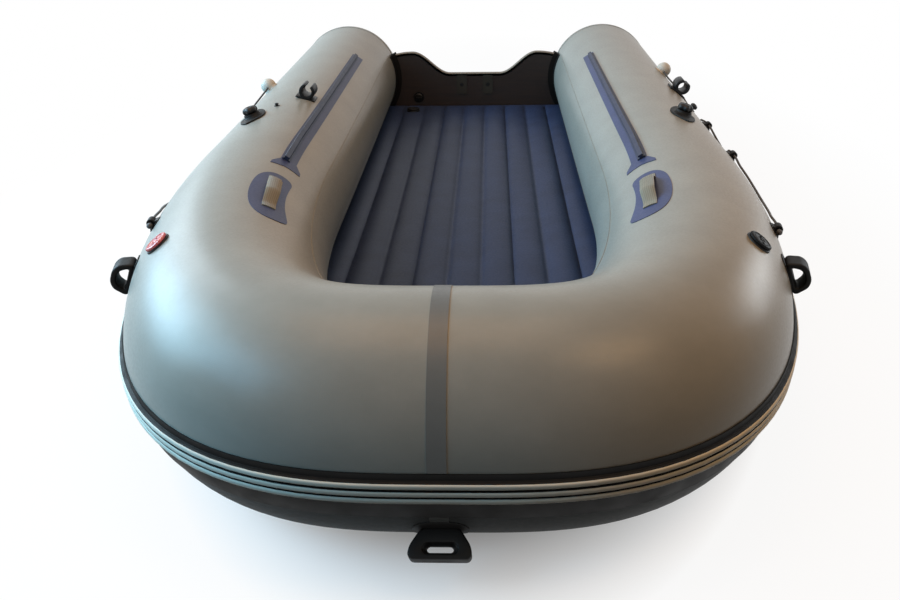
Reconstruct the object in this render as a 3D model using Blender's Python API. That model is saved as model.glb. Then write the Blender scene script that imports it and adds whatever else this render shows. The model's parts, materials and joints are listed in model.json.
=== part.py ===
"""Small inflatable boat: U-shaped air tube, channelled air floor and low wooden transom.

Metres, +Z up. The bow faces -Y and port is +X. The origin is on the ground, under the
middle of the boat's box.

Most fittings are drawn flat and then wrapped on the tube. Flat x runs along the tube's
centreline from the bow (port positive), flat y is the distance round the tube from its
outermost line over the top, and flat z is the height above the fabric.
"""
import math

import bmesh
import bpy
import numpy as np
from mathutils import Matrix, Vector

# Main tube
tube_radius = 0.21
tube_spread = 0.555
fabric = 0.0012
tube_sides = 20
bow_length = 1.05
bow_squareness = 3.65
bow_steps = 12
bow_rise = 0.023
rise_start = 1.60

# Stern, measured from the bow's centreline
transom_place = 2.615
transom_thickness = 0.025
tube_past_transom = 0.075
cone_length = 0.29
cone_tip_radius = 0.052
cone_shoulder_radius = 0.085
cone_tip_round = 0.03

# Fits
seat_gap = 0.0003
tape_thickness = 0.0012
tape_width = 0.034

# Strake, the fender round the outside
strake_top_angle = 5.5
strake_bottom_angle = -20.0
strake_base_thickness = 0.0025
bumper_angle = -3.2
bumper_width = 0.041
bumper_height = 0.009
bumper_groove = 0.004
bumper_ridges = 3
strake_length_past_transom = 0.05
bumper_taper = 0.06
bumper_end_size = 0.4

# Air floor
floor_channels = 9
channel_width = 0.088
floor_top_height = 0.098
floor_groove_depth = 0.015
floor_bottom_height = 0.0045
floor_skin = 0.0015
floor_top_tuck = 0.055
floor_bottom_tuck = 0.02
web_thickness = 0.001
floor_wall_half_width = 0.43
floor_edge_low_angle = 210.0
floor_edge_high_angle = 197.0

# Transom
board_bottom_height = 0.021
shoulder_height = 0.312
shoulder_fall = 0.013
cutout_height = 0.221
cutout_half_width = 0.108
shoulder_start = 0.272
trim_thickness = 0.003
holder_half_length = 0.035
holder_base = 0.0045
holder_wall = 0.005
holder_reach = 0.025
holder_top_angle = 153.0
holder_bottom_angle = 234.0
sill_wall = 0.004
sill_depth = 0.024
pad_spacing = 0.115
pad_width = 0.045
pad_height = 0.08
pad_thickness = 0.005
pad_bottom = 0.135
plate_width = 0.24
plate_height = 0.12
plate_thickness = 0.006
pad_corner = 0.006
plate_corner = 0.012
plate_drop = 0.004
bolt_radius = 0.004
bolt_head_radius = 0.0078
bolt_head_rim = 0.0006
bolt_head_height = 0.0038
bolt_clearance = 0.0005
drain_x = -0.25
drain_height = 0.12
drain_bore = 0.010
drain_tube_radius = 0.0155
drain_flange_radius = 0.024
drain_flange = 0.003

# Valves
valve_s = 0.68
valve_angle = 54.0
valve_flange_radius = 0.028
valve_flange = 0.003
valve_barrel_radius = 0.018
valve_bore = 0.0145
valve_depth = 0.030
valve_seat_radius = 0.0095
valve_disc_radius = 0.0115
valve_cap_radius = 0.0255
valve_cap_height = 0.006
cap_bar_sink = 0.002
cap_bar_rise = 0.003
valve_press = 0.005
valve_sides = 16
stem_radius = 0.0026
stem_button_radius = 0.006
floor_valve_x = -0.264
floor_valve_before_transom = 0.145

# Rowlocks
rowlock_s = 1.54
rowlock_angle = 72.0
rowlock_pad_length = 0.165
rowlock_pad_width = 0.072
rowlock_pad = 0.004
rowlock_boss_radius = 0.023
rowlock_boss_height = 0.014
rowlock_bore_floor = 0.0012
rowlock_pin_radius = 0.007
rowlock_clearance = 0.0005
rowlock_knob_radius = 0.021
rowlock_knob_height = 0.018

# Oar clips
clip_length = 0.056
clip_bore = 0.0145
clip_wall = 0.0095
clip_base = 0.060
clip_mouth = 38.0
port_clip_s = 1.96
port_clip_angle = 52.0
starboard_clip_s = 1.76
starboard_clip_angle = 104.0

# Carrying handles
handle_s = 0.75
handle_angle = 20.0
bow_handle_s = -0.010
bow_handle_angle = -36.0
bow_handle_base = 0.062
bow_handle_end = 0.099
bow_handle_height = 0.050
bow_handle_depth = 0.030
bow_opening = 0.056
bow_opening_height = 0.017
bow_band = 0.009
side_handle_base = 0.078
side_handle_end = 0.040
side_handle_height = 0.041
side_handle_depth = 0.044
side_band = 0.009
handle_foot = 0.006
handle_pad = 0.002

# Grab loops
grab_s = 0.905
grab_angle = 118.0
grab_patch = 0.0012
strap_length = 0.215
strap_width = 0.031
strap_thickness = 0.0025
strap_rise = 0.021
strap_tab = 0.02

# Seat rails
rail_angle = 121.5
rail_patch_start = 1.115
rail_patch_end = 2.50
rail_patch_half_width = 0.022
rail_tail_half_width = 0.040
rail_tail_length = 0.055
rail_fork_depth = 0.008
rail_fork_length = 0.018
rail_offset = -0.008
rail_base_half_width = 0.011
rail_head_half_width = 0.007
rail_height = 0.010
rail_foot = 0.002
rail_stem_half_width = 0.003
rail_stem_height = 0.006
rail_inset = 0.05

# Lifelines
rope_radius = 0.003
eyelet_1_s = 0.885
eyelet_2_s = 1.37
eyelet_3_s = 1.67
port_eyelet_angles = (33.0, 37.0, 37.0)
starboard_eyelet_angles = (39.0, 19.0, 19.0)
eyelet_hole = 0.0038
eyelet_hole_height = 0.0095
eyelet_radius = 0.0095
eyelet_base_half_width = 0.016
eyelet_length = 0.022
lug_foot = 0.0035
port_boss_s = 2.27
starboard_boss_s = 2.06
boss_angle = 50.0
boss_radius = 0.026
boss_hole_height = 0.0115
boss_length = 0.038
knot_radius = 0.0065
knot_distance = 0.020
knot_length = 0.016
rope_rest_height = 0.0052
rope_step = 0.024
port_rope_droop = (8.0, 14.0, 22.0)
starboard_rope_droop = (4.0, 7.0, 22.0)
rope_straight = 0.03
rope_hold = 0.02
rope_settle = 0.07

# The tube is flat-sided, so its flats lie a little nearer its middle than its corners do
facet = 2 * math.pi / tube_sides
flat_share = math.cos(facet / 2)
rest_height = tube_radius * flat_share
tube_end = transom_place + tube_past_transom
hull_end = tube_end + cone_length
strake_reach = strake_base_thickness + bumper_height + 2 * seat_gap
bow_reach = (tube_radius + strake_reach) * flat_share
overall_length = bow_reach + hull_end
bow_y = bow_reach - overall_length / 2


def clear_scene():
    for thing in list(bpy.data.objects):
        bpy.data.objects.remove(thing, do_unlink=True)


def finish_material(name, colour, roughness, metallic=0.0):
    material = bpy.data.materials.new(name)
    material.use_nodes = True
    shader = material.node_tree.nodes["Principled BSDF"]
    shader.inputs["Base Color"].default_value = (*colour, 1.0)
    shader.inputs["Roughness"].default_value = roughness
    shader.inputs["Metallic"].default_value = metallic
    return material


clear_scene()
grey_fabric = finish_material("grey_fabric", (0.23, 0.25, 0.27), 0.42)
blue_fabric = finish_material("blue_fabric", (0.08, 0.10, 0.20), 0.55)
floor_fabric = finish_material("floor_fabric", (0.07, 0.09, 0.15), 0.6)
dark_tape = finish_material("dark_tape", (0.07, 0.07, 0.075), 0.5)
black_rubber = finish_material("black_rubber", (0.015, 0.015, 0.016), 0.45)
pale_rubber = finish_material("pale_rubber", (0.52, 0.50, 0.46), 0.5)
black_plastic = finish_material("black_plastic", (0.02, 0.02, 0.022), 0.35)
red_plastic = finish_material("red_plastic", (0.60, 0.03, 0.04), 0.35)
pale_plastic = finish_material("pale_plastic", (0.62, 0.60, 0.56), 0.4)
dark_wood = finish_material("dark_wood", (0.035, 0.02, 0.013), 0.45)
trim_plastic = finish_material("trim_plastic", (0.30, 0.26, 0.22), 0.45)
grey_webbing = finish_material("grey_webbing", (0.42, 0.42, 0.42), 0.8)
black_rope = finish_material("black_rope", (0.02, 0.02, 0.02), 0.8)
steel = finish_material("steel", (0.55, 0.55, 0.56), 0.3, 1.0)


# Centreline of the tube

def sheer(y):
    """Rise of the bow at a distance aft of the bow's centreline."""
    return bow_rise * (max(0.0, rise_start - y) / rise_start) ** 2


def bow_front(x):
    """How far aft the bow's centreline lies at a distance from the middle."""
    share = min(1.0, abs(x) / tube_spread) ** bow_squareness
    return bow_length * (1 - math.sqrt(1 - share))


def bow_points():
    """Even steps along half the bow, closer together where it turns most."""
    turn = np.linspace(math.pi / 2, 0, 4001)
    x = tube_spread * np.clip(np.cos(turn), 0, 1) ** (2 / bow_squareness)
    y = bow_length * (1 - np.sin(turn))
    run = np.concatenate([[0], np.cumsum(np.hypot(np.diff(x), np.diff(y)))])
    heading = np.arctan2(np.gradient(y), np.gradient(x))
    share = 0.45 * run / run[-1] + 0.55 * heading / heading[-1]
    even = np.linspace(0, share[-1], bow_steps + 1)
    return [np.interp(even, share, values) for values in (run, x, y)]


bow_run, bow_x, bow_yy = bow_points()
side_start = bow_run[-1] - bow_length
straight_places = [(bow_length + rise_start) / 2, rise_start, tube_end, hull_end]


def along(y):
    """Flat x of a place on the straight side, from its distance aft of the bow."""
    return side_start + y


half_stations = [float(s) for s in bow_run] + [along(y) for y in straight_places]
half_plan = [(float(x), float(y)) for x, y in zip(bow_x, bow_yy)]
half_plan += [(tube_spread, y) for y in straight_places]
stations = [-s for s in half_stations[:0:-1]] + half_stations
plan = [(-x, y) for x, y in half_plan[:0:-1]] + half_plan


def mitres():
    """Centre of the tube at each station, and the outward vector of its mitre plane."""
    centres = [Vector((x, y + bow_y, rest_height + sheer(y))) for x, y in plan]
    outwards = []
    for i in range(len(plan)):
        before = Vector(plan[i]) - Vector(plan[max(i - 1, 0)])
        after = Vector(plan[min(i + 1, len(plan) - 1)]) - Vector(plan[i])
        before = (before if before.length else after).normalized()
        after = (after if after.length else before).normalized()
        middle = (before + after).normalized()
        outwards.append(Vector((middle.y, -middle.x, 0)) / middle.dot(before))
    return centres, outwards


centres, outwards = mitres()


def skin(s, arc, lift):
    """A point of flat x, y, z wrapped on the tube's flat-sided skin."""
    angle = arc / tube_radius
    middle = round(angle / facet) * facet
    reach = (tube_radius + lift) * flat_share / math.cos(angle - middle)
    i = 0
    while i < len(stations) - 2 and s > stations[i + 1]:
        i += 1
    share = (s - stations[i]) / (stations[i + 1] - stations[i])
    first = centres[i] + outwards[i] * reach * math.cos(angle)
    second = centres[i + 1] + outwards[i + 1] * reach * math.cos(angle)
    return first.lerp(second, share) + Vector((0, 0, reach * math.sin(angle)))


def arc_at(degrees):
    return math.radians(degrees) * tube_radius


def seat(s, degrees):
    """Frame on the skin: X along the tube, Z straight out of the flat that it lies on."""
    arc = arc_at(degrees)
    small = 0.001
    x_axis = (skin(s + small, arc, 0) - skin(s - small, arc, 0)).normalized()
    across = skin(s, arc + small, 0) - skin(s, arc - small, 0)
    z_axis = x_axis.cross(across).normalized()
    y_axis = z_axis.cross(x_axis)
    frame = Matrix((x_axis, y_axis, z_axis)).transposed().to_4x4()
    frame.translation = skin(s, arc, 0)
    return frame


# Ways to make a solid

def add_object(name, shape, material, frame=None, sharp=35):
    mesh = bpy.data.meshes.new(name)
    shape.to_mesh(mesh)
    shape.free()
    mesh.materials.append(material)
    if sharp:
        mesh.shade_smooth()
        mesh.set_sharp_from_angle(angle=math.radians(sharp))
    thing = bpy.data.objects.new(name, mesh)
    bpy.context.scene.collection.objects.link(thing)
    if frame is not None:
        thing.matrix_world = frame
    return thing


def add_cutter(name, shape, frame=None):
    cutter = add_object(name, shape, black_plastic, frame)
    cutter.hide_render = True
    cutter.display_type = "WIRE"
    return cutter


def combine(thing, other, operation):
    change = thing.modifiers.new(operation.lower(), "BOOLEAN")
    change.operation = operation
    change.object = other
    change.solver = "EXACT"


def loft(rings, closed=False):
    """Skin over rings of points, with its ends joined to each other or capped."""
    shape = bmesh.new()
    loops = [[shape.verts.new(point) for point in ring] for ring in rings]
    pairs = list(zip(loops, loops[1:]))
    if closed:
        pairs.append((loops[-1], loops[0]))
    for first, second in pairs:
        count = len(first)
        for i in range(count):
            j = (i + 1) % count
            shape.faces.new((first[i], first[j], second[j], second[i]))
    if not closed:
        shape.faces.new(loops[0][::-1])
        shape.faces.new(loops[-1])
    return face_outwards(shape)


def face_outwards(shape):
    if shape.calc_volume(signed=True) < 0:
        bmesh.ops.reverse_faces(shape, faces=shape.faces)
    return shape


def slab(upper, lower):
    """Solid between two grids of points, split the same way so that they never cross."""
    shape = bmesh.new()
    tops, bottoms = [[[shape.verts.new(point) for point in row] for row in grid] for grid in (upper, lower)]
    for grid, order in ((tops, 1), (bottoms, -1)):
        for first, second in zip(grid, grid[1:]):
            for i in range(len(first) - 1):
                shape.faces.new((first[i], first[i + 1], second[i + 1])[::order])
                shape.faces.new((first[i], second[i + 1], second[i])[::order])
    rim = edge_loop(tops)
    low_rim = edge_loop(bottoms)
    for i in range(len(rim)):
        j = (i + 1) % len(rim)
        shape.faces.new((rim[j], rim[i], low_rim[i], low_rim[j]))
    return face_outwards(shape)


def edge_loop(grid):
    """The points round the edge of a grid, in order."""
    right = [row[-1] for row in grid[1:-1]]
    left = [row[0] for row in grid[-2:0:-1]]
    return grid[0] + right + grid[-1][::-1] + left


def place_2d(point, axis, height):
    first, second = point
    return {"x": (height, first, second), "y": (first, height, second), "z": (first, second, height)}[axis]


def prism(points, axis, low, high):
    """An outline pushed along an axis. The outline lies in the other two axes."""
    return loft([[place_2d(p, axis, height) for p in points] for height in (low, high)])


def ring_prism(outer, inner, axis, low, high):
    """A prism with a hole. Both outlines have the same number of points."""
    rings = [(inner, low), (outer, low), (outer, high), (inner, high)]
    return loft([[place_2d(p, axis, height) for p in ring] for ring, height in rings], closed=True)


def turned(profile, sides, closed=False, lobes=0, lobe_depth=0.0):
    """A profile of radius and height turned round Z."""
    angles = [2 * math.pi * i / sides for i in range(sides)]
    wave = [1 + lobe_depth * math.cos(lobes * angle) for angle in angles]
    rings = []
    for radius, height in profile:
        rings.append([(radius * w * math.cos(a), radius * w * math.sin(a), height)
                      for a, w in zip(angles, wave)])
    return loft(rings, closed)


def join(shapes):
    """Several separate solids in one shape."""
    whole = bmesh.new()
    for shape in shapes:
        mesh = bpy.data.meshes.new("part")
        shape.to_mesh(mesh)
        shape.free()
        whole.from_mesh(mesh)
        bpy.data.meshes.remove(mesh)
    return whole


def moved(shape, x=0.0, y=0.0, z=0.0):
    bmesh.ops.translate(shape, verts=shape.verts, vec=(x, y, z))
    return shape


def framed(shape, frame):
    bmesh.ops.transform(shape, matrix=frame, verts=shape.verts)
    return shape


def mirrored(shape, side):
    """The same shape for port, and turned over across flat x for starboard."""
    bmesh.ops.scale(shape, vec=(side, 1, 1), verts=shape.verts)
    return face_outwards(shape)


def split_at(shape, place, direction):
    geometry = shape.verts[:] + shape.edges[:] + shape.faces[:]
    bmesh.ops.bisect_plane(shape, geom=geometry, dist=1e-7, plane_co=place, plane_no=direction)


def wrap(shape):
    """Split a flat shape where the tube's skin has an edge, then lay it on the skin."""
    low_s = min(v.co.x for v in shape.verts)
    high_s = max(v.co.x for v in shape.verts)
    low_arc = min(v.co.y for v in shape.verts)
    high_arc = max(v.co.y for v in shape.verts)
    small = 1e-5
    for s in stations:
        if low_s + small < s < high_s - small:
            split_at(shape, (s, 0, 0), (1, 0, 0))
    for i in range(-tube_sides, tube_sides * 2):
        arc = (i + 0.5) * facet * tube_radius
        if low_arc + small < arc < high_arc - small:
            split_at(shape, (0, arc, 0), (0, 1, 0))
    for v in shape.verts:
        v.co = skin(*v.co)
    return shape


def circle(radius, count, start=0.0, end=360.0, middle=(0.0, 0.0)):
    """Points on an arc, without the last one where the arc is a full circle."""
    last = count if end - start >= 360 else count - 1
    angles = [math.radians(start + (end - start) * i / last) for i in range(count)]
    return [(middle[0] + radius * math.cos(a), middle[1] + radius * math.sin(a)) for a in angles]


def rounded(corners, radius, steps=2):
    """A polygon with its corners rounded."""
    points = []
    for i, corner in enumerate(corners):
        here = Vector(corner)
        before = Vector(corners[i - 1]) - here
        after = Vector(corners[(i + 1) % len(corners)]) - here
        first = here + before.normalized() * min(radius, before.length * 0.49)
        last = here + after.normalized() * min(radius, after.length * 0.49)
        for step in range(steps + 1):
            t = step / steps
            point = first * (1 - t) ** 2 + here * 2 * t * (1 - t) + last * t ** 2
            points.append((point.x, point.y))
    return points


def rectangle(x_low, x_high, y_low, y_high):
    return [(x_low, y_low), (x_high, y_low), (x_high, y_high), (x_low, y_high)]


def strip(s_low, s_high, angle_low, angle_high, thickness, lift=seat_gap):
    outline = rectangle(s_low, s_high, arc_at(angle_low), arc_at(angle_high))
    return wrap(prism(outline, "z", lift, lift + thickness))


# Hull

facet_arcs = [(i + 0.5) * facet * tube_radius for i in range(tube_sides)]


def skin_ring(s, lift):
    return [skin(s, arc, lift) for arc in facet_arcs]


def stations_between(low, high):
    return [low] + [s for s in stations if low + 1e-5 < s < high - 1e-5] + [high]


bulkhead_thickness = 0.001
bulkhead_bulge = 0.062
bulkhead_hem = 0.004
tube_start = bulkhead_thickness / 2 + seat_gap


def tube_half(side):
    run = [s * side for s in stations_between(tube_start, along(tube_end))]
    rings = [skin_ring(s, 0) for s in run] + [skin_ring(s, -fabric) for s in reversed(run)]
    return loft(rings, closed=True)


def hull_solid():
    """The whole tube as one solid, a little thicker, which trims what lies against it."""
    rings = [skin_ring(s, seat_gap) for s in stations_between(-along(tube_end), along(tube_end))]
    return loft(rings)


def cone_rings():
    """Radius of the cone along its length, with its edge drawn in at the tip."""
    return [(seat_gap, tube_radius), (cone_length - cone_tip_round, cone_shoulder_radius),
            (cone_length, cone_tip_radius)]


def cone(side):
    outer = [skin_ring(side * (along(tube_end) + x), r - tube_radius) for x, r in cone_rings()]
    inner = [skin_ring(side * (along(tube_end) + min(x, cone_length - fabric)), r - tube_radius - fabric)
             for x, r in cone_rings()]
    return loft(outer[::-1] + inner)


def bulkhead():
    """Fabric wall that bulges to one side and closes each half of the tube."""
    half = bulkhead_thickness / 2
    profile = [(0.0, 0.0), (0.0, -bulkhead_hem), (0.73 * bulkhead_bulge, -tube_radius / 3),
               (bulkhead_bulge, -0.86 * tube_radius)]
    front = [skin_ring(s + half, lift) for s, lift in profile]
    back = [skin_ring(s - half, lift) for s, lift in profile]
    return loft(front[::-1] + back)


hull_cutter = add_cutter("hull_cutter", hull_solid())
sides = {"port": 1, "starboard": -1}
valve_hole = valve_barrel_radius + 0.0015

for name, side in sides.items():
    tube = add_object(name + "_tube", tube_half(side), grey_fabric)
    hole = turned([(valve_hole, -0.02), (valve_hole, 0.02)], valve_sides)
    combine(tube, add_cutter(name + "_valve_hole", hole, seat(side * valve_s, valve_angle)), "DIFFERENCE")
    add_object(name + "_cone", cone(side), grey_fabric)

add_object("bow_bulkhead", bulkhead(), grey_fabric)

half_tape = tape_width / 2
clear_angle = 1.0
add_object("bow_seam_tape", strip(-half_tape, half_tape, strake_top_angle + clear_angle,
                                  floor_edge_high_angle - clear_angle, tape_thickness), dark_tape)
fitting_end = along(transom_place + transom_thickness / 2 - holder_half_length) - 0.01


# Strake

strake_end = along(transom_place + strake_length_past_transom)
strake_run = [-strake_end, strake_end]
base_low_arc = arc_at(strake_bottom_angle)
base_high_arc = arc_at(strake_top_angle)
base_outline = rectangle(*strake_run, base_low_arc, base_high_arc)
base_strip = prism(base_outline, "z", seat_gap, seat_gap + strake_base_thickness)
add_object("strake_base", wrap(base_strip), black_rubber)


def bumper_section(size):
    """Section of the ribbed fender, as distance round the tube and height."""
    middle = arc_at(bumper_angle)
    floor = strake_base_thickness + 2 * seat_gap
    start = middle - size * bumper_width / 2
    pitch = size * bumper_width / bumper_ridges
    points = [(start, floor)]
    for i in range(bumper_ridges):
        if i:
            points.append((start + i * pitch, floor + bumper_groove * size))
        points.append((start + (i + 0.22) * pitch, floor + bumper_height * size))
        points.append((start + (i + 0.78) * pitch, floor + bumper_height * size))
    points.append((start + bumper_ridges * pitch, floor))
    return points


def bumper():
    """Fender along the whole strake, which tapers off at both ends."""
    end = strake_end
    places = [(-end, bumper_end_size), (bumper_taper - end, 1), (end - bumper_taper, 1),
              (end, bumper_end_size)]
    rings = [[(s, y, z) for y, z in bumper_section(size)] for s, size in places]
    return wrap(loft(rings))


add_object("strake_bumper", bumper(), pale_rubber, sharp=25)


# Air floor

floor_back = transom_place - holder_wall - 3 * seat_gap
holder_middle = along(transom_place + transom_thickness / 2)
floor_shares = (0.0, 0.04, 0.22, 0.5, 0.965, 0.99, 1.0)
floor_flatness = (1.0, 0.4, 0.0, 0.0, 0.0, 0.4, 1.0)


def holder_room(side):
    """What the transom's holder takes on the tube, where the floor is cut away."""
    half = holder_half_length + seat_gap
    ends = sorted((side * (holder_middle - half), side * (holder_middle + half)))
    outline = rectangle(*ends, arc_at(holder_top_angle), arc_at(holder_bottom_angle + clear_angle))
    return wrap(prism(outline, "z", 0, holder_base + 2 * seat_gap))


floor_cutters = [add_cutter(name + "_holder_room", holder_room(side)) for name, side in sides.items()]
floor_cutters.append(hull_cutter)


def trim_floor(thing):
    for cutter in floor_cutters:
        combine(thing, cutter, "DIFFERENCE")


def channel_wave(x):
    """0 in a groove and 1 on the crown of a channel."""
    return math.sqrt(abs(math.cos(math.pi * x / channel_width))) if floor_channels % 2 else (
        math.sqrt(abs(math.sin(math.pi * x / channel_width))))


def floor_sheet(side_reach, height_at, steps):
    """A channelled sheet that reaches under the whole tube, which then trims it."""
    half = floor_channels / 2
    columns = [(i / steps - half) * channel_width for i in range(floor_channels * steps + 1)]
    columns = [-side_reach] + columns + [side_reach]
    upper = []
    for share, flat in zip(floor_shares, floor_flatness):
        row = []
        for x in columns:
            front = bow_front(x)
            y = front + (floor_back - front) * share
            row.append((x, y + bow_y, height_at(x, flat) + sheer(y)))
        upper.append(row)
    lower = [[(x, y, z - floor_skin) for x, y, z in row] for row in upper]
    return slab(upper, lower)


def top_skin_height(x, flat):
    wave = channel_wave(x) * (1 - flat)
    return floor_top_height - floor_groove_depth * (1 - wave)


def bottom_skin_height(x, flat):
    wave = channel_wave(x) * (1 - flat)
    return floor_bottom_height + floor_skin + floor_groove_depth * (1 - wave)


top_sheet = floor_sheet(tube_spread - floor_top_tuck, top_skin_height, 4)
top_skin = add_object("floor_top_skin", top_sheet, floor_fabric, sharp=50)
trim_floor(top_skin)
bottom_sheet = floor_sheet(tube_spread - floor_bottom_tuck, bottom_skin_height, 2)
bottom_skin = add_object("floor_bottom_skin", bottom_sheet, dark_tape, sharp=50)
trim_floor(bottom_skin)

web_low = floor_bottom_height + floor_skin + floor_groove_depth + seat_gap
web_high = floor_top_height - floor_groove_depth - floor_skin - seat_gap
web_places = [(i - floor_channels / 2) * channel_width for i in range(1, floor_channels)]


def floor_web(x):
    """Upright strip under one groove, from the bow tube to near the stern."""
    front = bow_front(x)
    places = [front + (floor_back - front) * share for share in floor_shares[:-1]]
    places.append(floor_back - 2.5 * floor_skin)
    rings = []
    for y in places:
        low = web_low + sheer(y)
        high = web_high + sheer(y)
        rings.append([(x - web_thickness / 2, y + bow_y, low), (x + web_thickness / 2, y + bow_y, low),
                      (x + web_thickness / 2, y + bow_y, high), (x - web_thickness / 2, y + bow_y, high)])
    return loft(rings)


def stern_wall():
    """Wall across the floor's stern end, which every web runs into."""
    half = floor_wall_half_width
    back = floor_back - 2 * floor_skin
    wall = prism(rectangle(-half, half, web_low, web_high), "y", back - floor_skin, back)
    return moved(wall, y=bow_y)


webs = [floor_web(x) for x in web_places]
floor_webs = add_object("floor_webs", join(webs), grey_fabric)
combine(floor_webs, add_cutter("stern_wall", stern_wall()), "UNION")
trim_floor(floor_webs)

edge_arcs = arc_at(floor_edge_high_angle), arc_at(floor_edge_low_angle)
edge_outline = rectangle(-fitting_end, fitting_end, *edge_arcs)
add_object("floor_edge_tape", wrap(prism(edge_outline, "z", seat_gap, seat_gap + tape_thickness)), dark_tape)


# Valves, each drawn with its seat at z = 0 and its mouth facing up

def valve_body():
    """Flange, barrel and the ring at the bottom that the stem's disc closes on."""
    top = seat_gap
    profile = [(valve_bore, top + valve_flange), (valve_flange_radius - 0.001, top + valve_flange),
               (valve_flange_radius, top + valve_flange - 0.001), (valve_flange_radius, top),
               (valve_barrel_radius, top), (valve_barrel_radius, -valve_depth),
               (valve_seat_radius, -valve_depth), (valve_seat_radius, 0.003 - valve_depth),
               (valve_bore, 0.003 - valve_depth)]
    return turned(profile, valve_sides, closed=True)


guide_top = -0.015


def valve_spider():
    """Three arms and a hub that guide the stem."""
    hub = turned([(stem_radius + seat_gap, guide_top - 0.003), (0.0055, guide_top - 0.003),
                  (0.0055, guide_top), (stem_radius + seat_gap, guide_top)], 10, closed=True)
    return hub


def spider_arm(degrees):
    outline = rectangle(0.0045, valve_bore + 0.002, -0.0015, 0.0015)
    arm = prism(outline, "z", guide_top - 0.0025, guide_top - 0.0005)
    return framed(arm, Matrix.Rotation(math.radians(degrees), 4, "Z"))


def valve_stem():
    """Button, shaft and sealing disc. It presses in to let air out."""
    button_low = guide_top + valve_press + 0.001
    disc_top = -valve_depth - seat_gap
    profile = [(valve_disc_radius, disc_top - 0.0025), (valve_disc_radius, disc_top), (stem_radius, disc_top),
               (stem_radius, button_low), (stem_button_radius, button_low),
               (stem_button_radius, button_low + 0.002), (stem_button_radius - 0.001, button_low + 0.003)]
    return turned(profile, 10)


def valve_cap():
    """Round cap with rings on its face and two finger bars."""
    low = 2 * seat_gap + valve_flange
    high = low + valve_cap_height
    plug_low = guide_top + valve_press + 0.001 + 0.003 + 0.001
    plug = valve_bore - 0.0006
    edge = valve_cap_radius
    profile = [(plug, plug_low), (plug, low), (edge, low), (edge, high - 0.002), (edge - 0.002, high),
               (edge * 0.70, high), (edge * 0.64, high - 0.0015), (edge * 0.47, high - 0.0015),
               (edge * 0.40, high), (edge * 0.17, high), (edge * 0.13, high + 0.0012)]
    return turned(profile, valve_sides)


def cap_bar(side):
    high = 2 * seat_gap + valve_flange + valve_cap_height
    bar = rectangle(valve_cap_radius * 0.44, valve_cap_radius * 0.95, -0.003, 0.003)
    half_turn = Matrix.Rotation(math.pi / 2 * (1 - side), 4, "Z")
    return framed(prism(bar, "z", high - cap_bar_sink, high + cap_bar_rise), half_turn)


def add_valve(prefix, frame, cap_material):
    body = add_object(prefix + "_valve_body", valve_body(), black_plastic, frame)
    combine(body, add_cutter(prefix + "_hub", valve_spider(), frame), "UNION")
    for i in range(3):
        arm = add_cutter(prefix + "_arm_" + str(i), spider_arm(120 * i + 30), frame)
        combine(body, arm, "UNION")
    cap = add_object(prefix + "_valve_cap", valve_cap(), cap_material, frame)
    for i, side in enumerate((1, -1)):
        combine(cap, add_cutter(prefix + "_bar_" + str(i), cap_bar(side), frame), "UNION")
    add_object(prefix + "_valve_stem", valve_stem(), black_plastic, frame)


for name, side in sides.items():
    colour = black_plastic if side > 0 else red_plastic
    add_valve(name, seat(side * valve_s, valve_angle), colour)

floor_valve_y = transom_place - floor_valve_before_transom
floor_valve_seat = Matrix.Translation((floor_valve_x, floor_valve_y + bow_y, floor_top_height))
floor_hole = turned([(valve_hole, -0.03), (valve_hole, 0.02)], valve_sides)
combine(top_skin, add_cutter("floor_valve_hole", floor_hole, floor_valve_seat), "DIFFERENCE")
add_valve("floor", floor_valve_seat, black_plastic)


# Transom

def cross_point(angle_degrees, lift, side):
    """X and height of a point of the tube's cross-section at the stern."""
    point = skin(along(transom_place), arc_at(angle_degrees), lift)
    return side * point.x, point.z


corner_height = shoulder_height - shoulder_fall


def board_top(x):
    """Height of the board's top edge: shoulders, and a cutout between two easy curves."""
    share = (abs(x) - cutout_half_width) / (shoulder_start - cutout_half_width)
    share = min(1.0, max(0.0, share))
    fall = shoulder_fall * (max(0.0, abs(x) - shoulder_start) / (shoulder_corner - shoulder_start)) ** 2
    return cutout_height + (shoulder_height - cutout_height) * (1 - math.cos(math.pi * share)) / 2 - fall


def inner_corners(lift):
    """Corners of the port tube's inner side, a lift above its flats, from the bottom up."""
    turns = [(i + 0.5) * math.degrees(facet) for i in range(tube_sides, 0, -1)]
    return [cross_point(a, lift, 1) for a in turns if 130 < a < 250]


def inner_reach(height, lift):
    """How far from the middle the tube's inner side lies at a height."""
    corners = inner_corners(lift)
    return float(np.interp(height, [z for x, z in corners], [x for x, z in corners]))


def board_side():
    """Side edge of the board, round the tube's flats from the bottom up."""
    lift = holder_base + 2 * seat_gap
    ends = [(inner_reach(height, lift), height) for height in (board_bottom_height, corner_height)]
    between = [(x, z) for x, z in inner_corners(lift) if board_bottom_height < z < corner_height]
    return [ends[0], *between, ends[1]]


board_edge = board_side()
shoulder_corner = board_edge[-1][0]
slope_steps = 6
top_x = [shoulder_corner, (shoulder_corner + shoulder_start) / 2, shoulder_start]
slope_step = (cutout_half_width - shoulder_start) / slope_steps
top_x += [shoulder_start + slope_step * i for i in range(1, slope_steps + 1)]
half_top = [(x, board_top(x)) for x in top_x]
full_top = half_top + [(-x, z) for x, z in reversed(half_top)]
board_outline = board_edge[:-1] + full_top + [(-x, z) for x, z in reversed(board_edge[:-1])]
board_front = transom_place + bow_y
board_back = board_front + transom_thickness
board = add_object("transom_board", prism(board_outline, "y", board_front, board_back), dark_wood, sharp=0)

trim_low = [(x, z + seat_gap) for x, z in full_top]
trim_high = [(x, z + seat_gap + trim_thickness) for x, z in reversed(full_top)]
add_object("transom_edge_trim", prism(trim_low + trim_high, "y", board_front, board_back), trim_plastic)


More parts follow.
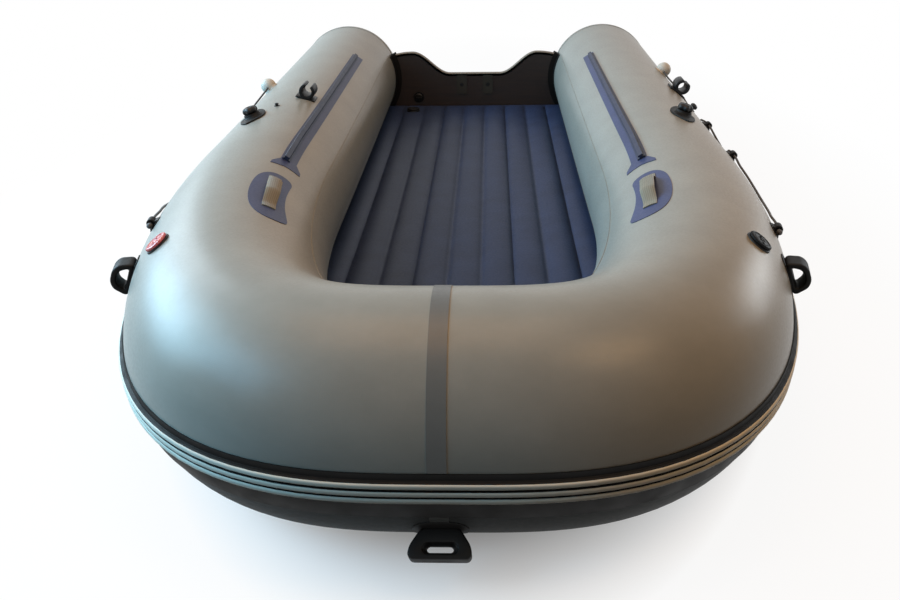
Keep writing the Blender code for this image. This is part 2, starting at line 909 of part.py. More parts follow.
def holder(side):
    """Channel glued on the tube, which takes the board's side edge."""
    middle = side * holder_middle
    inner = transom_thickness / 2 + seat_gap
    outer = inner + holder_wall
    half = [(inner, holder_base), (inner, holder_reach), (outer, holder_reach), (outer, holder_base),
            (holder_half_length, 0.002), (holder_half_length, 0)]
    section = half + [(-x, z) for x, z in reversed(half)]
    section = [(middle + x, z + seat_gap) for x, z in section]
    return wrap(prism(section, "y", arc_at(holder_top_angle), arc_at(holder_bottom_angle)))


for name, side in sides.items():
    add_object(name + "_transom_holder", holder(side), black_rubber)


def sill():
    """Channel under the board's bottom edge."""
    front = board_front - seat_gap
    back = board_back + seat_gap
    low = board_bottom_height - seat_gap - sill_wall
    high = board_bottom_height + sill_depth
    section = [(front - sill_wall, low), (back + sill_wall, low), (back + sill_wall, high), (back, high),
               (back, low + sill_wall), (front, low + sill_wall), (front, high), (front - sill_wall, high)]
    end = inner_reach(high, holder_reach + seat_gap) - seat_gap
    return prism(section, "x", -end, end)


add_object("transom_sill", sill(), black_rubber)


def motor_pad(side):
    pad = rounded(rectangle(-pad_width / 2, pad_width / 2, pad_bottom, pad_bottom + pad_height), pad_corner)
    pad = prism(pad, "y", board_front - seat_gap - pad_thickness, board_front - seat_gap)
    return moved(pad, x=side * pad_spacing / 2)


plate_top = cutout_height - plate_drop
plate_outline = rounded(rectangle(-plate_width / 2, plate_width / 2, plate_top - plate_height, plate_top),
                        plate_corner)
plate_front = board_back + seat_gap
motor_plate = add_object("motor_plate", prism(plate_outline, "y", plate_front, plate_front + plate_thickness),
                         black_plastic, sharp=0)

to_stern = Matrix.Rotation(-math.pi / 2, 4, "X")
pad_front = board_front - seat_gap - pad_thickness
bolt_span = plate_front + plate_thickness - pad_front


def bolt_profile(sink, clearance):
    """Countersunk head, shank and countersunk nut. Its ends lie sunk below both faces."""
    wide = bolt_head_radius + clearance
    narrow = bolt_radius + clearance
    rim = seat_gap + bolt_head_rim
    neck = seat_gap + bolt_head_height
    return [(wide, sink), (wide, rim), (narrow, neck), (narrow, bolt_span - neck), (wide, bolt_span - rim),
            (wide, bolt_span - sink)]


for name, side in sides.items():
    frame = Matrix.Translation((side * pad_spacing / 2, pad_front, pad_bottom + pad_height / 2)) @ to_stern
    hole = add_cutter(name + "_bolt_hole", turned(bolt_profile(-pad_thickness, bolt_clearance), 16), frame)
    pad = add_object(name + "_motor_pad", motor_pad(side), trim_plastic, sharp=0)
    for thing in (board, pad, motor_plate):
        combine(thing, hole, "DIFFERENCE")
    add_object(name + "_motor_bolt", turned(bolt_profile(seat_gap, 0), 16), steel, frame)

drain_frame = Matrix.Translation((drain_x, board_front, drain_height)) @ to_stern
drain_cutter = turned([(drain_tube_radius + seat_gap, -0.01), (drain_tube_radius + seat_gap, 0.04)], 16)
combine(board, add_cutter("drain_cutter", drain_cutter, drain_frame), "DIFFERENCE")


def drain_body():
    """Flanged tube through the board, with a ring that holds it from behind."""
    front = -seat_gap
    back = transom_thickness + seat_gap
    rim = drain_flange_radius - 0.004
    return turned([(drain_bore, front - drain_flange), (drain_flange_radius, front - drain_flange),
                   (drain_flange_radius, front), (drain_tube_radius, front), (drain_tube_radius, back),
                   (rim, back), (rim, back + drain_flange), (drain_bore, back + drain_flange)],
                  16, closed=True)


def drain_plug():
    """Plug with a wing for the fingers. Its head lies on the flange."""
    head = -2 * seat_gap - drain_flange
    return turned([(drain_bore - 0.0008, 0.012), (drain_bore - 0.0008, head), (0.017, head),
                   (0.017, head - 0.004), (0.014, head - 0.006)], 16)


add_object("drain_body", drain_body(), black_plastic, drain_frame)
plug = add_object("drain_plug", drain_plug(), black_plastic, drain_frame)
wing_high = -2 * seat_gap - drain_flange - 0.004
wing = prism(rectangle(-0.012, 0.012, -0.0025, 0.0025), "z", wing_high - 0.010, wing_high)
combine(plug, add_cutter("drain_wing", wing, drain_frame), "UNION")


# Rowlocks

def rowlock_outline():
    """Eye-shaped pad: two arcs that meet in a point at each end."""
    half = rowlock_pad_length / 2
    wide = rowlock_pad_width / 2
    radius = (half ** 2 + wide ** 2) / (2 * wide)
    sweep = math.degrees(math.asin(half / radius))
    top = circle(radius, 9, 90 - sweep, 90 + sweep, (0, wide - radius))
    bottom = circle(radius, 9, 270 - sweep, 270 + sweep, (0, radius - wide))
    return top[:-1] + bottom[:-1]


def rowlock_boss():
    return turned([(rowlock_boss_radius, 0.001), (rowlock_boss_radius, rowlock_boss_height - 0.002),
                   (rowlock_boss_radius - 0.002, rowlock_boss_height)], 20)


def rowlock_knob():
    """Lobed head above the boss, as one piece with the pin."""
    neck = rowlock_boss_height + seat_gap
    top = neck + rowlock_knob_height
    return turned([(rowlock_knob_radius * 0.8, neck), (rowlock_knob_radius, neck + 0.004),
                   (rowlock_knob_radius, neck + 0.009), (rowlock_knob_radius * 0.8, top - 0.001),
                   (rowlock_knob_radius * 0.4, top)], 24, lobes=6, lobe_depth=0.07)


for name, side in sides.items():
    pad = prism(rowlock_outline(), "z", seat_gap, seat_gap + rowlock_pad)
    pad = wrap(moved(pad, side * rowlock_s, arc_at(rowlock_angle)))
    base = add_object(name + "_rowlock_base", pad, black_rubber)
    frame = seat(side * rowlock_s, rowlock_angle)
    combine(base, add_cutter(name + "_rowlock_boss", rowlock_boss(), frame), "UNION")
    bore_radius = rowlock_pin_radius + rowlock_clearance
    bore = turned([(bore_radius, rowlock_bore_floor), (bore_radius, rowlock_boss_height + 0.01)], 16)
    combine(base, add_cutter(name + "_rowlock_bore", bore, frame), "DIFFERENCE")
    pin_low = rowlock_bore_floor + rowlock_clearance
    pin = turned([(rowlock_pin_radius, pin_low), (rowlock_pin_radius, rowlock_boss_height + 0.004)], 16)
    swivel = add_object(name + "_rowlock_swivel", pin, black_plastic, frame)
    combine(swivel, add_cutter(name + "_rowlock_knob", rowlock_knob(), frame), "UNION")


# Oar clips

def clip_section():
    """Foot and open ring, as one outline across the clip."""
    half = clip_base / 2
    low = seat_gap
    foot = low + 0.004
    outer = clip_bore + clip_wall
    middle = low + outer + 0.001
    join_angle = math.degrees(math.asin((foot - middle) / outer))
    right = circle(outer, 8, join_angle, 90 - clip_mouth, (0, middle))
    inside = circle(clip_bore, 15, 90 - clip_mouth, -270 + clip_mouth, (0, middle))
    left = circle(outer, 8, 90 + clip_mouth, 180 - join_angle, (0, middle))
    return [(half, low), (half, foot)] + right + inside + left + [(-half, foot), (-half, low)]


clips = {"port": (port_clip_s, port_clip_angle), "starboard": (-starboard_clip_s, starboard_clip_angle)}
for name, (s, degrees) in clips.items():
    clip = prism(clip_section(), "x", -clip_length / 2, clip_length / 2)
    add_object(name + "_oar_clip", clip, black_plastic, seat(s, degrees))


# Handles

def bow_handle():
    """Flat moulded fin that widens outwards, with a finger slot near its outer edge."""
    low = seat_gap + handle_pad / 2
    base = bow_handle_base / 2
    end = bow_handle_end / 2
    high = bow_handle_height
    shoulder = high * 0.62
    outer = rounded([(-base, low), (base, low), (end, shoulder), (end, high), (-end, high),
                     (-end, shoulder)], 0.014)
    half = bow_opening / 2
    slot_high = high - bow_band
    slot_low = slot_high - bow_opening_height
    slot_side = (slot_low + slot_high) / 2
    inner = rounded([(-half * 0.8, slot_low), (half * 0.8, slot_low), (half, slot_side),
                     (half * 0.85, slot_high), (-half * 0.85, slot_high), (-half, slot_side)], 0.006)
    return ring_prism(outer, inner, "y", -bow_handle_depth / 2, bow_handle_depth / 2)


def side_handle():
    """Moulded loop across the tube, wide at its foot, with a wide hand opening."""
    low = seat_gap + handle_pad / 2
    base = side_handle_base / 2
    end = side_handle_end / 2
    high = side_handle_height
    outer = rounded([(-base, low), (base, low), (end, high), (-end, high)], 0.014, 3)
    inner_low = low + handle_foot
    inner_base = base - side_band * 1.3
    inner_end = end - side_band * 0.8
    inner = rounded([(-inner_base, inner_low), (inner_base, inner_low), (inner_end, high - side_band),
                     (-inner_end, high - side_band)], 0.009, 3)
    return ring_prism(outer, inner, "x", -side_handle_depth / 2, side_handle_depth / 2)


def handle_pad_shape(length, width):
    outline = rounded(rectangle(-length / 2, length / 2, -width / 2, width / 2), 0.02)
    return prism(outline, "z", seat_gap, seat_gap + handle_pad)


handles = {"bow": (bow_handle_s, bow_handle_angle), "port": (handle_s, handle_angle),
           "starboard": (-handle_s, handle_angle)}
for name, (s, degrees) in handles.items():
    place = (s, arc_at(degrees))
    if name == "bow":
        grip, pad = bow_handle(), handle_pad_shape(0.086, 0.066)
    else:
        grip, pad = side_handle(), handle_pad_shape(0.060, 0.096)
    handle = add_object(name + "_handle", wrap(moved(grip, *place)), black_rubber)
    combine(handle, add_cutter(name + "_handle_pad", wrap(moved(pad, *place))), "UNION")


# Grab loops

grab_outline = [(0.122, 0.045), (0.142, 0.020), (0.142, -0.014), (0.105, -0.040), (0.035, -0.049),
                (-0.050, -0.050), (-0.118, -0.042), (-0.160, -0.024), (-0.178, 0.006), (-0.166, 0.047),
                (-0.115, 0.043), (-0.060, 0.037), (0.010, 0.036), (0.070, 0.040)]


def strap_height(share):
    """Height of the strap's middle at a share of its length: flat tabs and an arch."""
    tab = strap_tab / strap_length
    inside = min(1.0, max(0.0, (min(share, 1 - share) - tab) / (0.34 - tab)))
    rest = grab_patch + 2 * seat_gap + strap_thickness / 2
    return rest + strap_rise * inside * inside * (3 - 2 * inside)


def strap():
    steps = 14
    places = [i / steps for i in range(steps + 1)]
    rings = []
    for share in places:
        x = (share - 0.5) * strap_length
        ahead = min(1, share + 0.01)
        behind = max(0, share - 0.01)
        climb = strap_height(ahead) - strap_height(behind)
        run = Vector(((ahead - behind) * strap_length, climb)).normalized()
        out = Vector((-run.y, run.x)) * strap_thickness / 2
        z = strap_height(share)
        half = strap_width / 2
        rings.append([(x - out.x, -half, z - out.y), (x - out.x, half, z - out.y),
                      (x + out.x, half, z + out.y), (x + out.x, -half, z + out.y)])
    return loft(rings)


for name, side in sides.items():
    place = (side * grab_s, arc_at(grab_angle))
    patch = mirrored(prism(grab_outline, "z", seat_gap, seat_gap + grab_patch), side)
    add_object(name + "_grab_patch", wrap(moved(patch, *place)), blue_fabric)
    add_object(name + "_grab_strap", wrap(moved(strap(), *place)), grey_webbing)


# Seat rails

def rail_patch():
    """Long strip with a flared tail at its forward end."""
    start = rail_patch_start
    tail = start + rail_tail_length
    half = rail_patch_half_width
    wide = rail_tail_half_width
    fork = start + rail_fork_length
    outline = [(start, wide), (start + rail_fork_depth, 0.0), (start, -wide), (fork, -wide * 0.98),
               (tail, -half), (rail_patch_end, -half), (rail_patch_end, half), (tail, half),
               (fork, wide * 0.98)]
    return prism(outline, "z", seat_gap, seat_gap + grab_patch)


def rail():
    """T-shaped track that a seat's slides run on."""
    low = grab_patch + 2 * seat_gap
    neck = low + rail_stem_height
    half = [(rail_base_half_width, low), (rail_base_half_width, low + rail_foot),
            (rail_stem_half_width, low + 1.25 * rail_foot), (rail_stem_half_width, neck),
            (rail_head_half_width, neck), (rail_head_half_width * 0.8, low + rail_height)]
    section = half + [(-y, z) for y, z in reversed(half)]
    section = [(y + rail_offset, z) for y, z in section]
    return prism(section, "x", rail_patch_start + rail_inset, rail_patch_end - rail_inset * 0.5)


for name, side in sides.items():
    patch = moved(mirrored(rail_patch(), side), y=arc_at(rail_angle))
    add_object(name + "_rail_patch", wrap(patch), blue_fabric)
    track = moved(mirrored(rail(), side), y=arc_at(rail_angle))
    add_object(name + "_seat_rail", wrap(track), black_plastic)


# Lifelines

def lug(radius, hole_height, length):
    """Moulded eye that the rope runs through, on a small foot."""
    half = max(eyelet_base_half_width, radius * 0.8)
    low = seat_gap
    foot = low + lug_foot
    outer = circle(radius, 9, -18, 198, (0, hole_height))
    outer += [(-half, foot), (-half, low), (-0.3 * half, low), (0.3 * half, low), (half, low), (half, foot)]
    inner = []
    for y, z in outer:
        away = Vector((y, z - hole_height)).normalized() * eyelet_hole
        inner.append((away.x, hole_height + away.y))
    return ring_prism(outer, inner, "x", -length / 2, length / 2)


eyelet_places = (eyelet_1_s, eyelet_2_s, eyelet_3_s)
eyelets = {"port": tuple(zip(eyelet_places, port_eyelet_angles)),
           "starboard": tuple(zip(eyelet_places, starboard_eyelet_angles))}
bosses = {"port": (port_boss_s, boss_angle), "starboard": (starboard_boss_s, boss_angle)}
droops = {"port": port_rope_droop, "starboard": starboard_rope_droop}
for name, side in sides.items():
    for i, (s, degrees) in enumerate(eyelets[name]):
        eyelet = moved(lug(eyelet_radius, eyelet_hole_height, eyelet_length), side * s, arc_at(degrees))
        add_object(name + "_eyelet_" + str(i + 1), wrap(eyelet), black_rubber)
    s, degrees = bosses[name]
    boss = moved(lug(boss_radius, boss_hole_height, boss_length), side * s, arc_at(degrees))
    add_object(name + "_line_boss", wrap(boss), pale_plastic)


def rope_points(name, side):
    """Rope's middle line: through each eye, and slack against the fabric between them."""
    stops = [(s, arc_at(a), eyelet_hole_height) for s, a in eyelets[name]]
    stops.append((bosses[name][0], arc_at(bosses[name][1]), boss_hole_height))
    start = stops[0][0] - eyelet_length / 2 - knot_distance
    end = stops[-1][0] + boss_length / 2 + knot_distance
    count = round((end - start - 2 * knot_length) / rope_step)
    run = np.linspace(start + knot_length, end - knot_length, count + 1)
    places = [start, start + knot_length / 2, *run, end - knot_length / 2, end]
    points = []
    for s in places:
        arc = stops[0][1] if s < stops[0][0] else stops[-1][1]
        for first, second, droop in zip(stops, stops[1:], droops[name]):
            if first[0] <= s <= second[0]:
                share = (s - first[0] - rope_straight) / (second[0] - first[0] - 2 * rope_straight)
                share = min(1.0, max(0.0, share))
                arc = first[1] + (second[1] - first[1]) * share * share * (3 - 2 * share)
                arc -= arc_at(droop) * math.sin(math.pi * share) ** 2
        lift = rope_rest_height
        for place, _, height in stops:
            near = max(0.0, 1 - max(0.0, abs(s - place) - rope_hold) / rope_settle)
            lift = max(lift, rope_rest_height + (height - rope_rest_height) * near * near * (3 - 2 * near))
        points.append(skin(side * s, arc, lift))
    return points


def add_rope(name, points):
    """Rope with a stopper knot at each end."""
    curve = bpy.data.curves.new(name, "CURVE")
    curve.dimensions = "3D"
    curve.bevel_depth = rope_radius
    curve.bevel_resolution = 2
    curve.use_fill_caps = True
    spline = curve.splines.new("POLY")
    spline.points.add(len(points) - 1)
    for point, place in zip(spline.points, points):
        point.co = (*place, 1.0)
    spline.points[1].radius = knot_radius / rope_radius
    spline.points[-2].radius = knot_radius / rope_radius
    curve.materials.append(black_rope)
    thing = bpy.data.objects.new(name, curve)
    bpy.context.scene.collection.objects.link(thing)


for name, side in sides.items():
    add_rope(name + "_lifeline", rope_points(name, side))
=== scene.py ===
"""Looks of a small inflatable boat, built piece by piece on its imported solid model.

Metres, +Z up. The bow faces -Y and port is +X. Most fittings are cut flat and then laid
on the tube: flat x runs along the tube from the bow (port positive), flat y is the
distance round the tube from its outermost line over the top, and flat z is the height
above the fabric.
"""
import bisect
import json
import math

import bmesh
import bpy
from mathutils import Matrix, Vector, noise


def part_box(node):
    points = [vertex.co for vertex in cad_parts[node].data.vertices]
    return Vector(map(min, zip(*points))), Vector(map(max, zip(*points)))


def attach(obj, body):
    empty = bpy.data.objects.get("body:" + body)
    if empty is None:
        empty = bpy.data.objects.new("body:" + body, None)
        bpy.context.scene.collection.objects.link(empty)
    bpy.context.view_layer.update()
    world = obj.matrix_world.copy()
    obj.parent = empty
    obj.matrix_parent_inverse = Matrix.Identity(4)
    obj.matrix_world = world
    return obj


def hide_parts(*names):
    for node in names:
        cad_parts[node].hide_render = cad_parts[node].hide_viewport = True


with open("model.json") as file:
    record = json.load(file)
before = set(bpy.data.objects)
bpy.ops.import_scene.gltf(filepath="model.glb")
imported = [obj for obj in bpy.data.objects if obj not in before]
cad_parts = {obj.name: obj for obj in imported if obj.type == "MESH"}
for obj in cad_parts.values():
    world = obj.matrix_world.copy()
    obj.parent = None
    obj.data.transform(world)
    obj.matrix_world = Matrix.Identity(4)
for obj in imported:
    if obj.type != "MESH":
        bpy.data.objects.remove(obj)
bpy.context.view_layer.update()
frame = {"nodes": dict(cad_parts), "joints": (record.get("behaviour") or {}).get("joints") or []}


# Air tubes
# Two chambers of PVC-coated polyester, which meet at the bow and end in cones at the
# stern. Panels are cut flat, glued along their edges and pumped hard, so the skin is a
# taut round with a soft shine. Where the boat stands, the tube is pressed a little flat.

panel_radius = 0.21
tube_radius = 0.208
tube_spread = 0.555
rest_height = 0.20741
bow_length = 1.05
bow_squareness = 3.65
bow_rise = 0.023
rise_start = 1.60
transom_place = 2.615
tube_past_transom = 0.075
curve_steps = 2000
slope_reach = 0.006
bow_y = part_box("transom_board")[0][1] - transom_place
sides = {"port": 1, "starboard": -1}


def sheer(y):
    return bow_rise * (max(0.0, rise_start - y) / rise_start) ** 2


def bow_curve():
    """Distance along the tube's middle line at many places round half the bow."""
    places = []
    for i in range(curve_steps + 1):
        turn = math.pi / 2 * (1 - i / curve_steps)
        x = tube_spread * max(0.0, math.cos(turn)) ** (2 / bow_squareness)
        places.append(Vector((x, bow_length * (1 - math.sin(turn)))))
    runs = [0.0]
    for before, after in zip(places, places[1:]):
        runs.append(runs[-1] + (after - before).length)
    return runs, places


bow_runs, bow_places = bow_curve()
side_start = bow_runs[-1] - bow_length
tube_reach = side_start + transom_place + tube_past_transom


def centre_at(s):
    run = abs(s)
    if run >= bow_runs[-1]:
        x, y = tube_spread, run - side_start
    else:
        i = max(1, bisect.bisect(bow_runs, run))
        share = (run - bow_runs[i - 1]) / (bow_runs[i] - bow_runs[i - 1])
        x, y = bow_places[i - 1].lerp(bow_places[i], share)
    return Vector((math.copysign(x, s), y + bow_y, rest_height + sheer(y)))


def on_tube(s, arc, lift):
    """Where a flat point comes to lie on the tube."""
    along = centre_at(s + slope_reach) - centre_at(s - slope_reach)
    outward = Vector((along.y, -along.x, 0)).normalized()
    angle = arc / panel_radius
    reach = tube_radius + lift
    point = centre_at(s) + outward * reach * math.cos(angle)
    point.z = max(0.0, point.z + reach * math.sin(angle))
    return point


def arc_at(degrees):
    return math.radians(degrees) * panel_radius


def keep_flat_uv(shape):
    """The flat shape becomes the UV map, in metres, so a weave runs as it was cut."""
    layer = shape.loops.layers.uv.verify()
    for face in shape.faces:
        for loop in face.loops:
            loop[layer].uv = loop.vert.co.xy


def lay_on_tube(shape):
    keep_flat_uv(shape)
    for point in shape.verts:
        point.co = on_tube(*point.co)
    return shape


def flat_panel(s_low, s_high, arc_low, arc_high, s_step, arc_step, lift=0.0):
    """A rectangle of fabric, in even squares."""
    shape = bmesh.new()
    columns = max(1, math.ceil((s_high - s_low) / s_step))
    rows = max(1, math.ceil((arc_high - arc_low) / arc_step))
    bmesh.ops.create_grid(shape, x_segments=columns, y_segments=rows, size=0.5)
    bmesh.ops.scale(shape, vec=(s_high - s_low, arc_high - arc_low, 1), verts=shape.verts)
    middle = ((s_low + s_high) / 2, (arc_low + arc_high) / 2, lift)
    bmesh.ops.translate(shape, vec=middle, verts=shape.verts)
    return shape


def add_piece(name, shape, material, body="hull", stands_for=(), sharp=40):
    """Makes the object, lets it ride on its body and hides the solids it stands for."""
    mesh = bpy.data.meshes.new(name)
    shape.to_mesh(mesh)
    shape.free()
    for one in material if isinstance(material, list) else [material]:
        mesh.materials.append(one)
    mesh.shade_smooth()
    mesh.set_sharp_from_angle(angle=math.radians(sharp))
    piece = bpy.data.objects.new(name, mesh)
    bpy.context.scene.collection.objects.link(piece)
    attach(piece, body)
    if stands_for:
        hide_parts(*stands_for)
    return piece


def linear(hex_colour):
    """sRGB hex to linear colour, with alpha."""
    parts = [int(hex_colour[i:i + 2], 16) / 255 for i in (1, 3, 5)]
    return (*[p / 12.92 if p <= 0.04045 else ((p + 0.055) / 1.055) ** 2.4 for p in parts], 1.0)


def new_finish(name, colour, roughness, metallic=0.0):
    """A material, its node tree and its main shader."""
    material = bpy.data.materials.new(name)
    material.use_nodes = True
    shader = material.node_tree.nodes["Principled BSDF"]
    shader.inputs["Base Color"].default_value = linear(colour)
    shader.inputs["Roughness"].default_value = roughness
    shader.inputs["Metallic"].default_value = metallic
    return material, material.node_tree, shader


def add_node(tree, kind, inputs=None, **settings):
    """One shader node, with its settings and its inputs, each a number, a colour or a link."""
    new = tree.nodes.new("ShaderNode" + kind)
    for name, value in settings.items():
        setattr(new, name, value)
    for name, value in (inputs or {}).items():
        if isinstance(value, bpy.types.NodeSocket):
            tree.links.new(value, new.inputs[name])
        else:
            new.inputs[name].default_value = value
    return new


def waves_per_unit(spacing_mm):
    """Scale of a wave texture whose bands lie that far apart."""
    return 2 * math.pi / (20 * spacing_mm / 1000)


# Threads are 1 mm apart on the real fabric and are drawn 3 mm apart, so that they show.
drawn_weave_mm = 3.0
weave_depth = 0.00012


def coated_fabric(name, colour, dark, roughness, depth, coords, gloss=0.32):
    """PVC coating calendered on woven polyester: the threads print through as a faint
    grid, and the coating varies a little in tone, in clouds 0.1 m across, and in shine,
    in specks of 6 mm."""
    material, tree, shader = new_finish(name, colour, roughness)
    place = add_node(tree, "TexCoord").outputs[coords]
    warp, weft = [add_node(tree, "TexWave", {"Vector": place, "Scale": waves_per_unit(drawn_weave_mm)},
                           bands_direction=way).outputs["Fac"] for way in "XY"]
    threads = add_node(tree, "Math", {0: warp, 1: weft}, operation="MAXIMUM")
    weave = add_node(tree, "Bump", {"Height": threads.outputs[0], "Strength": 0.25, "Distance": depth})
    cloud = add_node(tree, "TexNoise", {"Vector": place, "Scale": 9.0, "Detail": 4.0, "Roughness": 0.6})
    ripple = add_node(tree, "Bump", {"Height": cloud.outputs["Fac"], "Strength": 0.35, "Distance": 0.0016,
                                     "Normal": weave.outputs[0]})
    tone = add_node(tree, "MapRange", {"Value": cloud.outputs["Fac"], "From Min": 0.3, "From Max": 0.7})
    mix = add_node(tree, "Mix", {"Factor": tone.outputs[0], "A": linear(dark), "B": linear(colour)},
                   data_type="RGBA")
    speck = add_node(tree, "TexNoise", {"Vector": place, "Scale": 160.0, "Detail": 2.0})
    shine = add_node(tree, "MapRange", {"Value": speck.outputs["Fac"], "From Min": 0.3, "From Max": 0.7,
                                        "To Min": roughness - 0.05, "To Max": roughness + 0.06})
    tree.links.new(mix.outputs["Result"], shader.inputs["Base Color"])
    tree.links.new(shine.outputs[0], shader.inputs["Roughness"])
    tree.links.new(ripple.outputs[0], shader.inputs["Normal"])
    shader.inputs["Specular IOR Level"].default_value = gloss
    return material


# Satin grey fabric, which takes a broad soft shine.
tube_fabric = coated_fabric("grey_pvc_fabric", "#888780", "#7f7e77", 0.33, weave_depth, "UV", 0.22)
# Painted shade: below the strake the tube takes a darker, duller fabric that stands in for the shade there.
painted_shade_fabric = coated_fabric("painted_shade_tube_underside", "#4b4d4d", "#444646", 0.6, weave_depth, "UV", 0.08)

keel_low = -90
keel_high = 270
# Edges of the painted shade: the tube is darker below the first angle and beyond the second.
painted_shade_edge_low = -19
painted_shade_edge_high = 209
half_gap_at_bow = 0.0006
tube_square = 0.020
tube_strip = 0.0138
valve_s = 0.68
valve_angle = 54.0
valve_hole = 0.0195
valve_surround = 0.05


def air_tube(side):
    """One chamber, rolled from a flat panel and closed along the keel line. The grid is
    finer round the valve, where a round hole is cut."""
    low, high = sorted((side * half_gap_at_bow, side * tube_reach))
    shape = flat_panel(low, high, arc_at(keel_low), arc_at(keel_high), tube_square, tube_strip)
    valve = Vector((side * valve_s, arc_at(valve_angle), 0))
    near = [e for e in shape.edges if all((v.co - valve).length < valve_surround for v in e.verts)]
    bmesh.ops.subdivide_edges(shape, edges=near, cuts=3, use_grid_fill=True)
    inside = [f for f in shape.faces if (f.calc_center_median() - valve).length < valve_hole - 0.001]
    bmesh.ops.delete(shape, geom=inside, context="FACES")
    # Faces outside that band take the darker fabric, as painted shade.
    for face in shape.faces:
        upper = arc_at(painted_shade_edge_low) < face.calc_center_median().y < arc_at(painted_shade_edge_high)
        face.material_index = 0 if upper else 1
    for point in shape.verts:
        away = point.co - valve
        if point.is_boundary and away.length < valve_hole + 0.006:
            point.co = valve + away.normalized() * valve_hole
    lay_on_tube(shape)
    bmesh.ops.remove_doubles(shape, verts=shape.verts, dist=0.0001)
    return shape


for name, side in sides.items():
    add_piece(name + "_air_tube", air_tube(side), [tube_fabric, painted_shade_fabric],
              stands_for=[name + "_tube"])


# Stern cones
# Tapered ends of the same fabric, cut from gores and closed by a small round patch. They
# are joined to the tubes behind the transom and pumped up with them.

cone_length = 0.29
cone_bulge = 0.012
cone_end_radius = 0.085
# Radius, and how far before the tip
cone_end = [(0.080, 0.014), (0.070, 0.006), (0.056, 0.001), (0.0, 0.0)]
# The tubes' fabric, drawn on Object coordinates because a turned cone has no flat cut.
cone_fabric = coated_fabric("grey_pvc_fabric_cones", "#888780", "#7f7e77", 0.33, weave_depth, "Object",
                            0.22)


def spun(profile, steps):
    """A profile of radius and height, turned all round the Z axis."""
    shape = bmesh.new()
    points = [shape.verts.new((radius, 0, height)) for radius, height in profile]
    edges = [shape.edges.new(pair) for pair in zip(points, points[1:])]
    bmesh.ops.spin(shape, geom=points + edges, cent=(0, 0, 0), axis=(0, 0, 1), angle=2 * math.pi,
                   steps=steps, use_merge=True)
    bmesh.ops.remove_doubles(shape, verts=shape.verts, dist=0.00001)
    bmesh.ops.recalc_face_normals(shape, faces=shape.faces)
    return shape


def placed(shape, matrix):
    bmesh.ops.transform(shape, matrix=matrix, verts=shape.verts)
    return shape


def round_taper(length, wide, narrow, steps):
    """Radius along a cone that bulges a little, as pumped fabric does."""
    profile = []
    for i in range(steps + 1):
        share = i / steps
        bulge = cone_bulge * math.sin(math.pi * share)
        profile.append((wide + (narrow - wide) * share + bulge, length * share))
    return profile


for name, side in sides.items():
    taper = round_taper(cone_length - 0.024, tube_radius, cone_end_radius, 14)
    tip = [(radius, cone_length - back) for radius, back in cone_end]
    shape = spun(taper + tip, 64)
    end = centre_at(side * tube_reach)
    placed(shape, Matrix.Translation(end) @ Matrix.Rotation(-math.pi / 2, 4, "X"))
    for point in shape.verts:
        point.co.z = max(0.0, point.co.z)
    add_piece(name + "_stern_cone", shape, cone_fabric, stands_for=[name + "_cone"])


# Seam tapes
# Strips of the same coated fabric over every joint. They are glued on, 1.2 mm thick, and
# show as a low step; their dark glue line is not drawn. The one at the bow is a darker grey.

tape_thickness = 0.0012
tape_depth = 0.0006
tape_square = 0.012
tape_weave_depth = 0.0001
bow_seam_port = 0.004
bow_seam_starboard = -0.026
bow_seam_upper = (5.8, 196)
bow_seam_lower = (-88, -20.7)
inner_seam = (151.0, 160.0)
inner_seam_start = 0.5
inner_seam_stop = 0.13
cone_seam_width = 0.02
floor_edge = (198, 209)
floor_edge_stop = 0.04
# A darker grey tape of the same make, a little glossier than the tubes.
seam_fabric = coated_fabric("dark_pvc_tape", "#5d5e5c", "#545553", 0.38, tape_weave_depth, "UV")


def tape(s_low, s_high, low_degrees, high_degrees, thickness=tape_thickness):
    """A glued strip with a rounded edge, laid on the tube."""
    shape = flat_panel(s_low, s_high, arc_at(low_degrees), arc_at(high_degrees), tape_square, tape_square,
                       thickness)
    rim = [e for e in shape.edges if e.is_boundary]
    skirt = bmesh.ops.extrude_edge_only(shape, edges=rim)
    low = [v for v in skirt["geom"] if isinstance(v, bmesh.types.BMVert)]
    bmesh.ops.translate(shape, vec=(0, 0, -thickness - tape_depth), verts=low)
    bmesh.ops.recalc_face_normals(shape, faces=shape.faces)
    return lay_on_tube(shape)


add_piece("bow_seam", tape(bow_seam_starboard, bow_seam_port, *bow_seam_upper), seam_fabric,
          stands_for=["bow_seam_tape", "bow_bulkhead"])
add_piece("bow_seam_low", tape(bow_seam_starboard, bow_seam_port, *bow_seam_lower), seam_fabric)
for name, side in sides.items():
    start, end = sorted((side * inner_seam_start, side * (tube_reach - inner_seam_stop)))
    add_piece(name + "_inner_seam", tape(start, end, *inner_seam), tube_fabric)
    start, end = sorted((side * (tube_reach - cone_seam_width), side * tube_reach))
    add_piece(name + "_cone_seam", tape(start, end, keel_low, keel_high), tube_fabric)

edge_end = side_start + transom_place - floor_edge_stop
add_piece("floor_edge_seam", tape(-edge_end, edge_end, *floor_edge), seam_fabric,
          stands_for=["floor_edge_tape"])


# Strake and fender
# A wide black rubber strip all round the outside, and on it an extruded fender with three
# beads. Only their crowns are pale: their sides are black as painted shade, and the grooves
# between them are black.

strake_low = -20.0
strake_high = 5.5
strake_thickness = 0.0025
strake_reach = side_start + transom_place + 0.05
bead_middle = -3.2
bead_pitch = 0.0137
bead_width = 0.0116
crown_width = 0.0096
bead_height = 0.0088
bead_squareness = 3.0
fender_width = 0.043
fender_web = 0.0022
fender_taper = 0.06
fender_end_size = 0.4
fender_square = 0.022
fender_strip = 0.00075


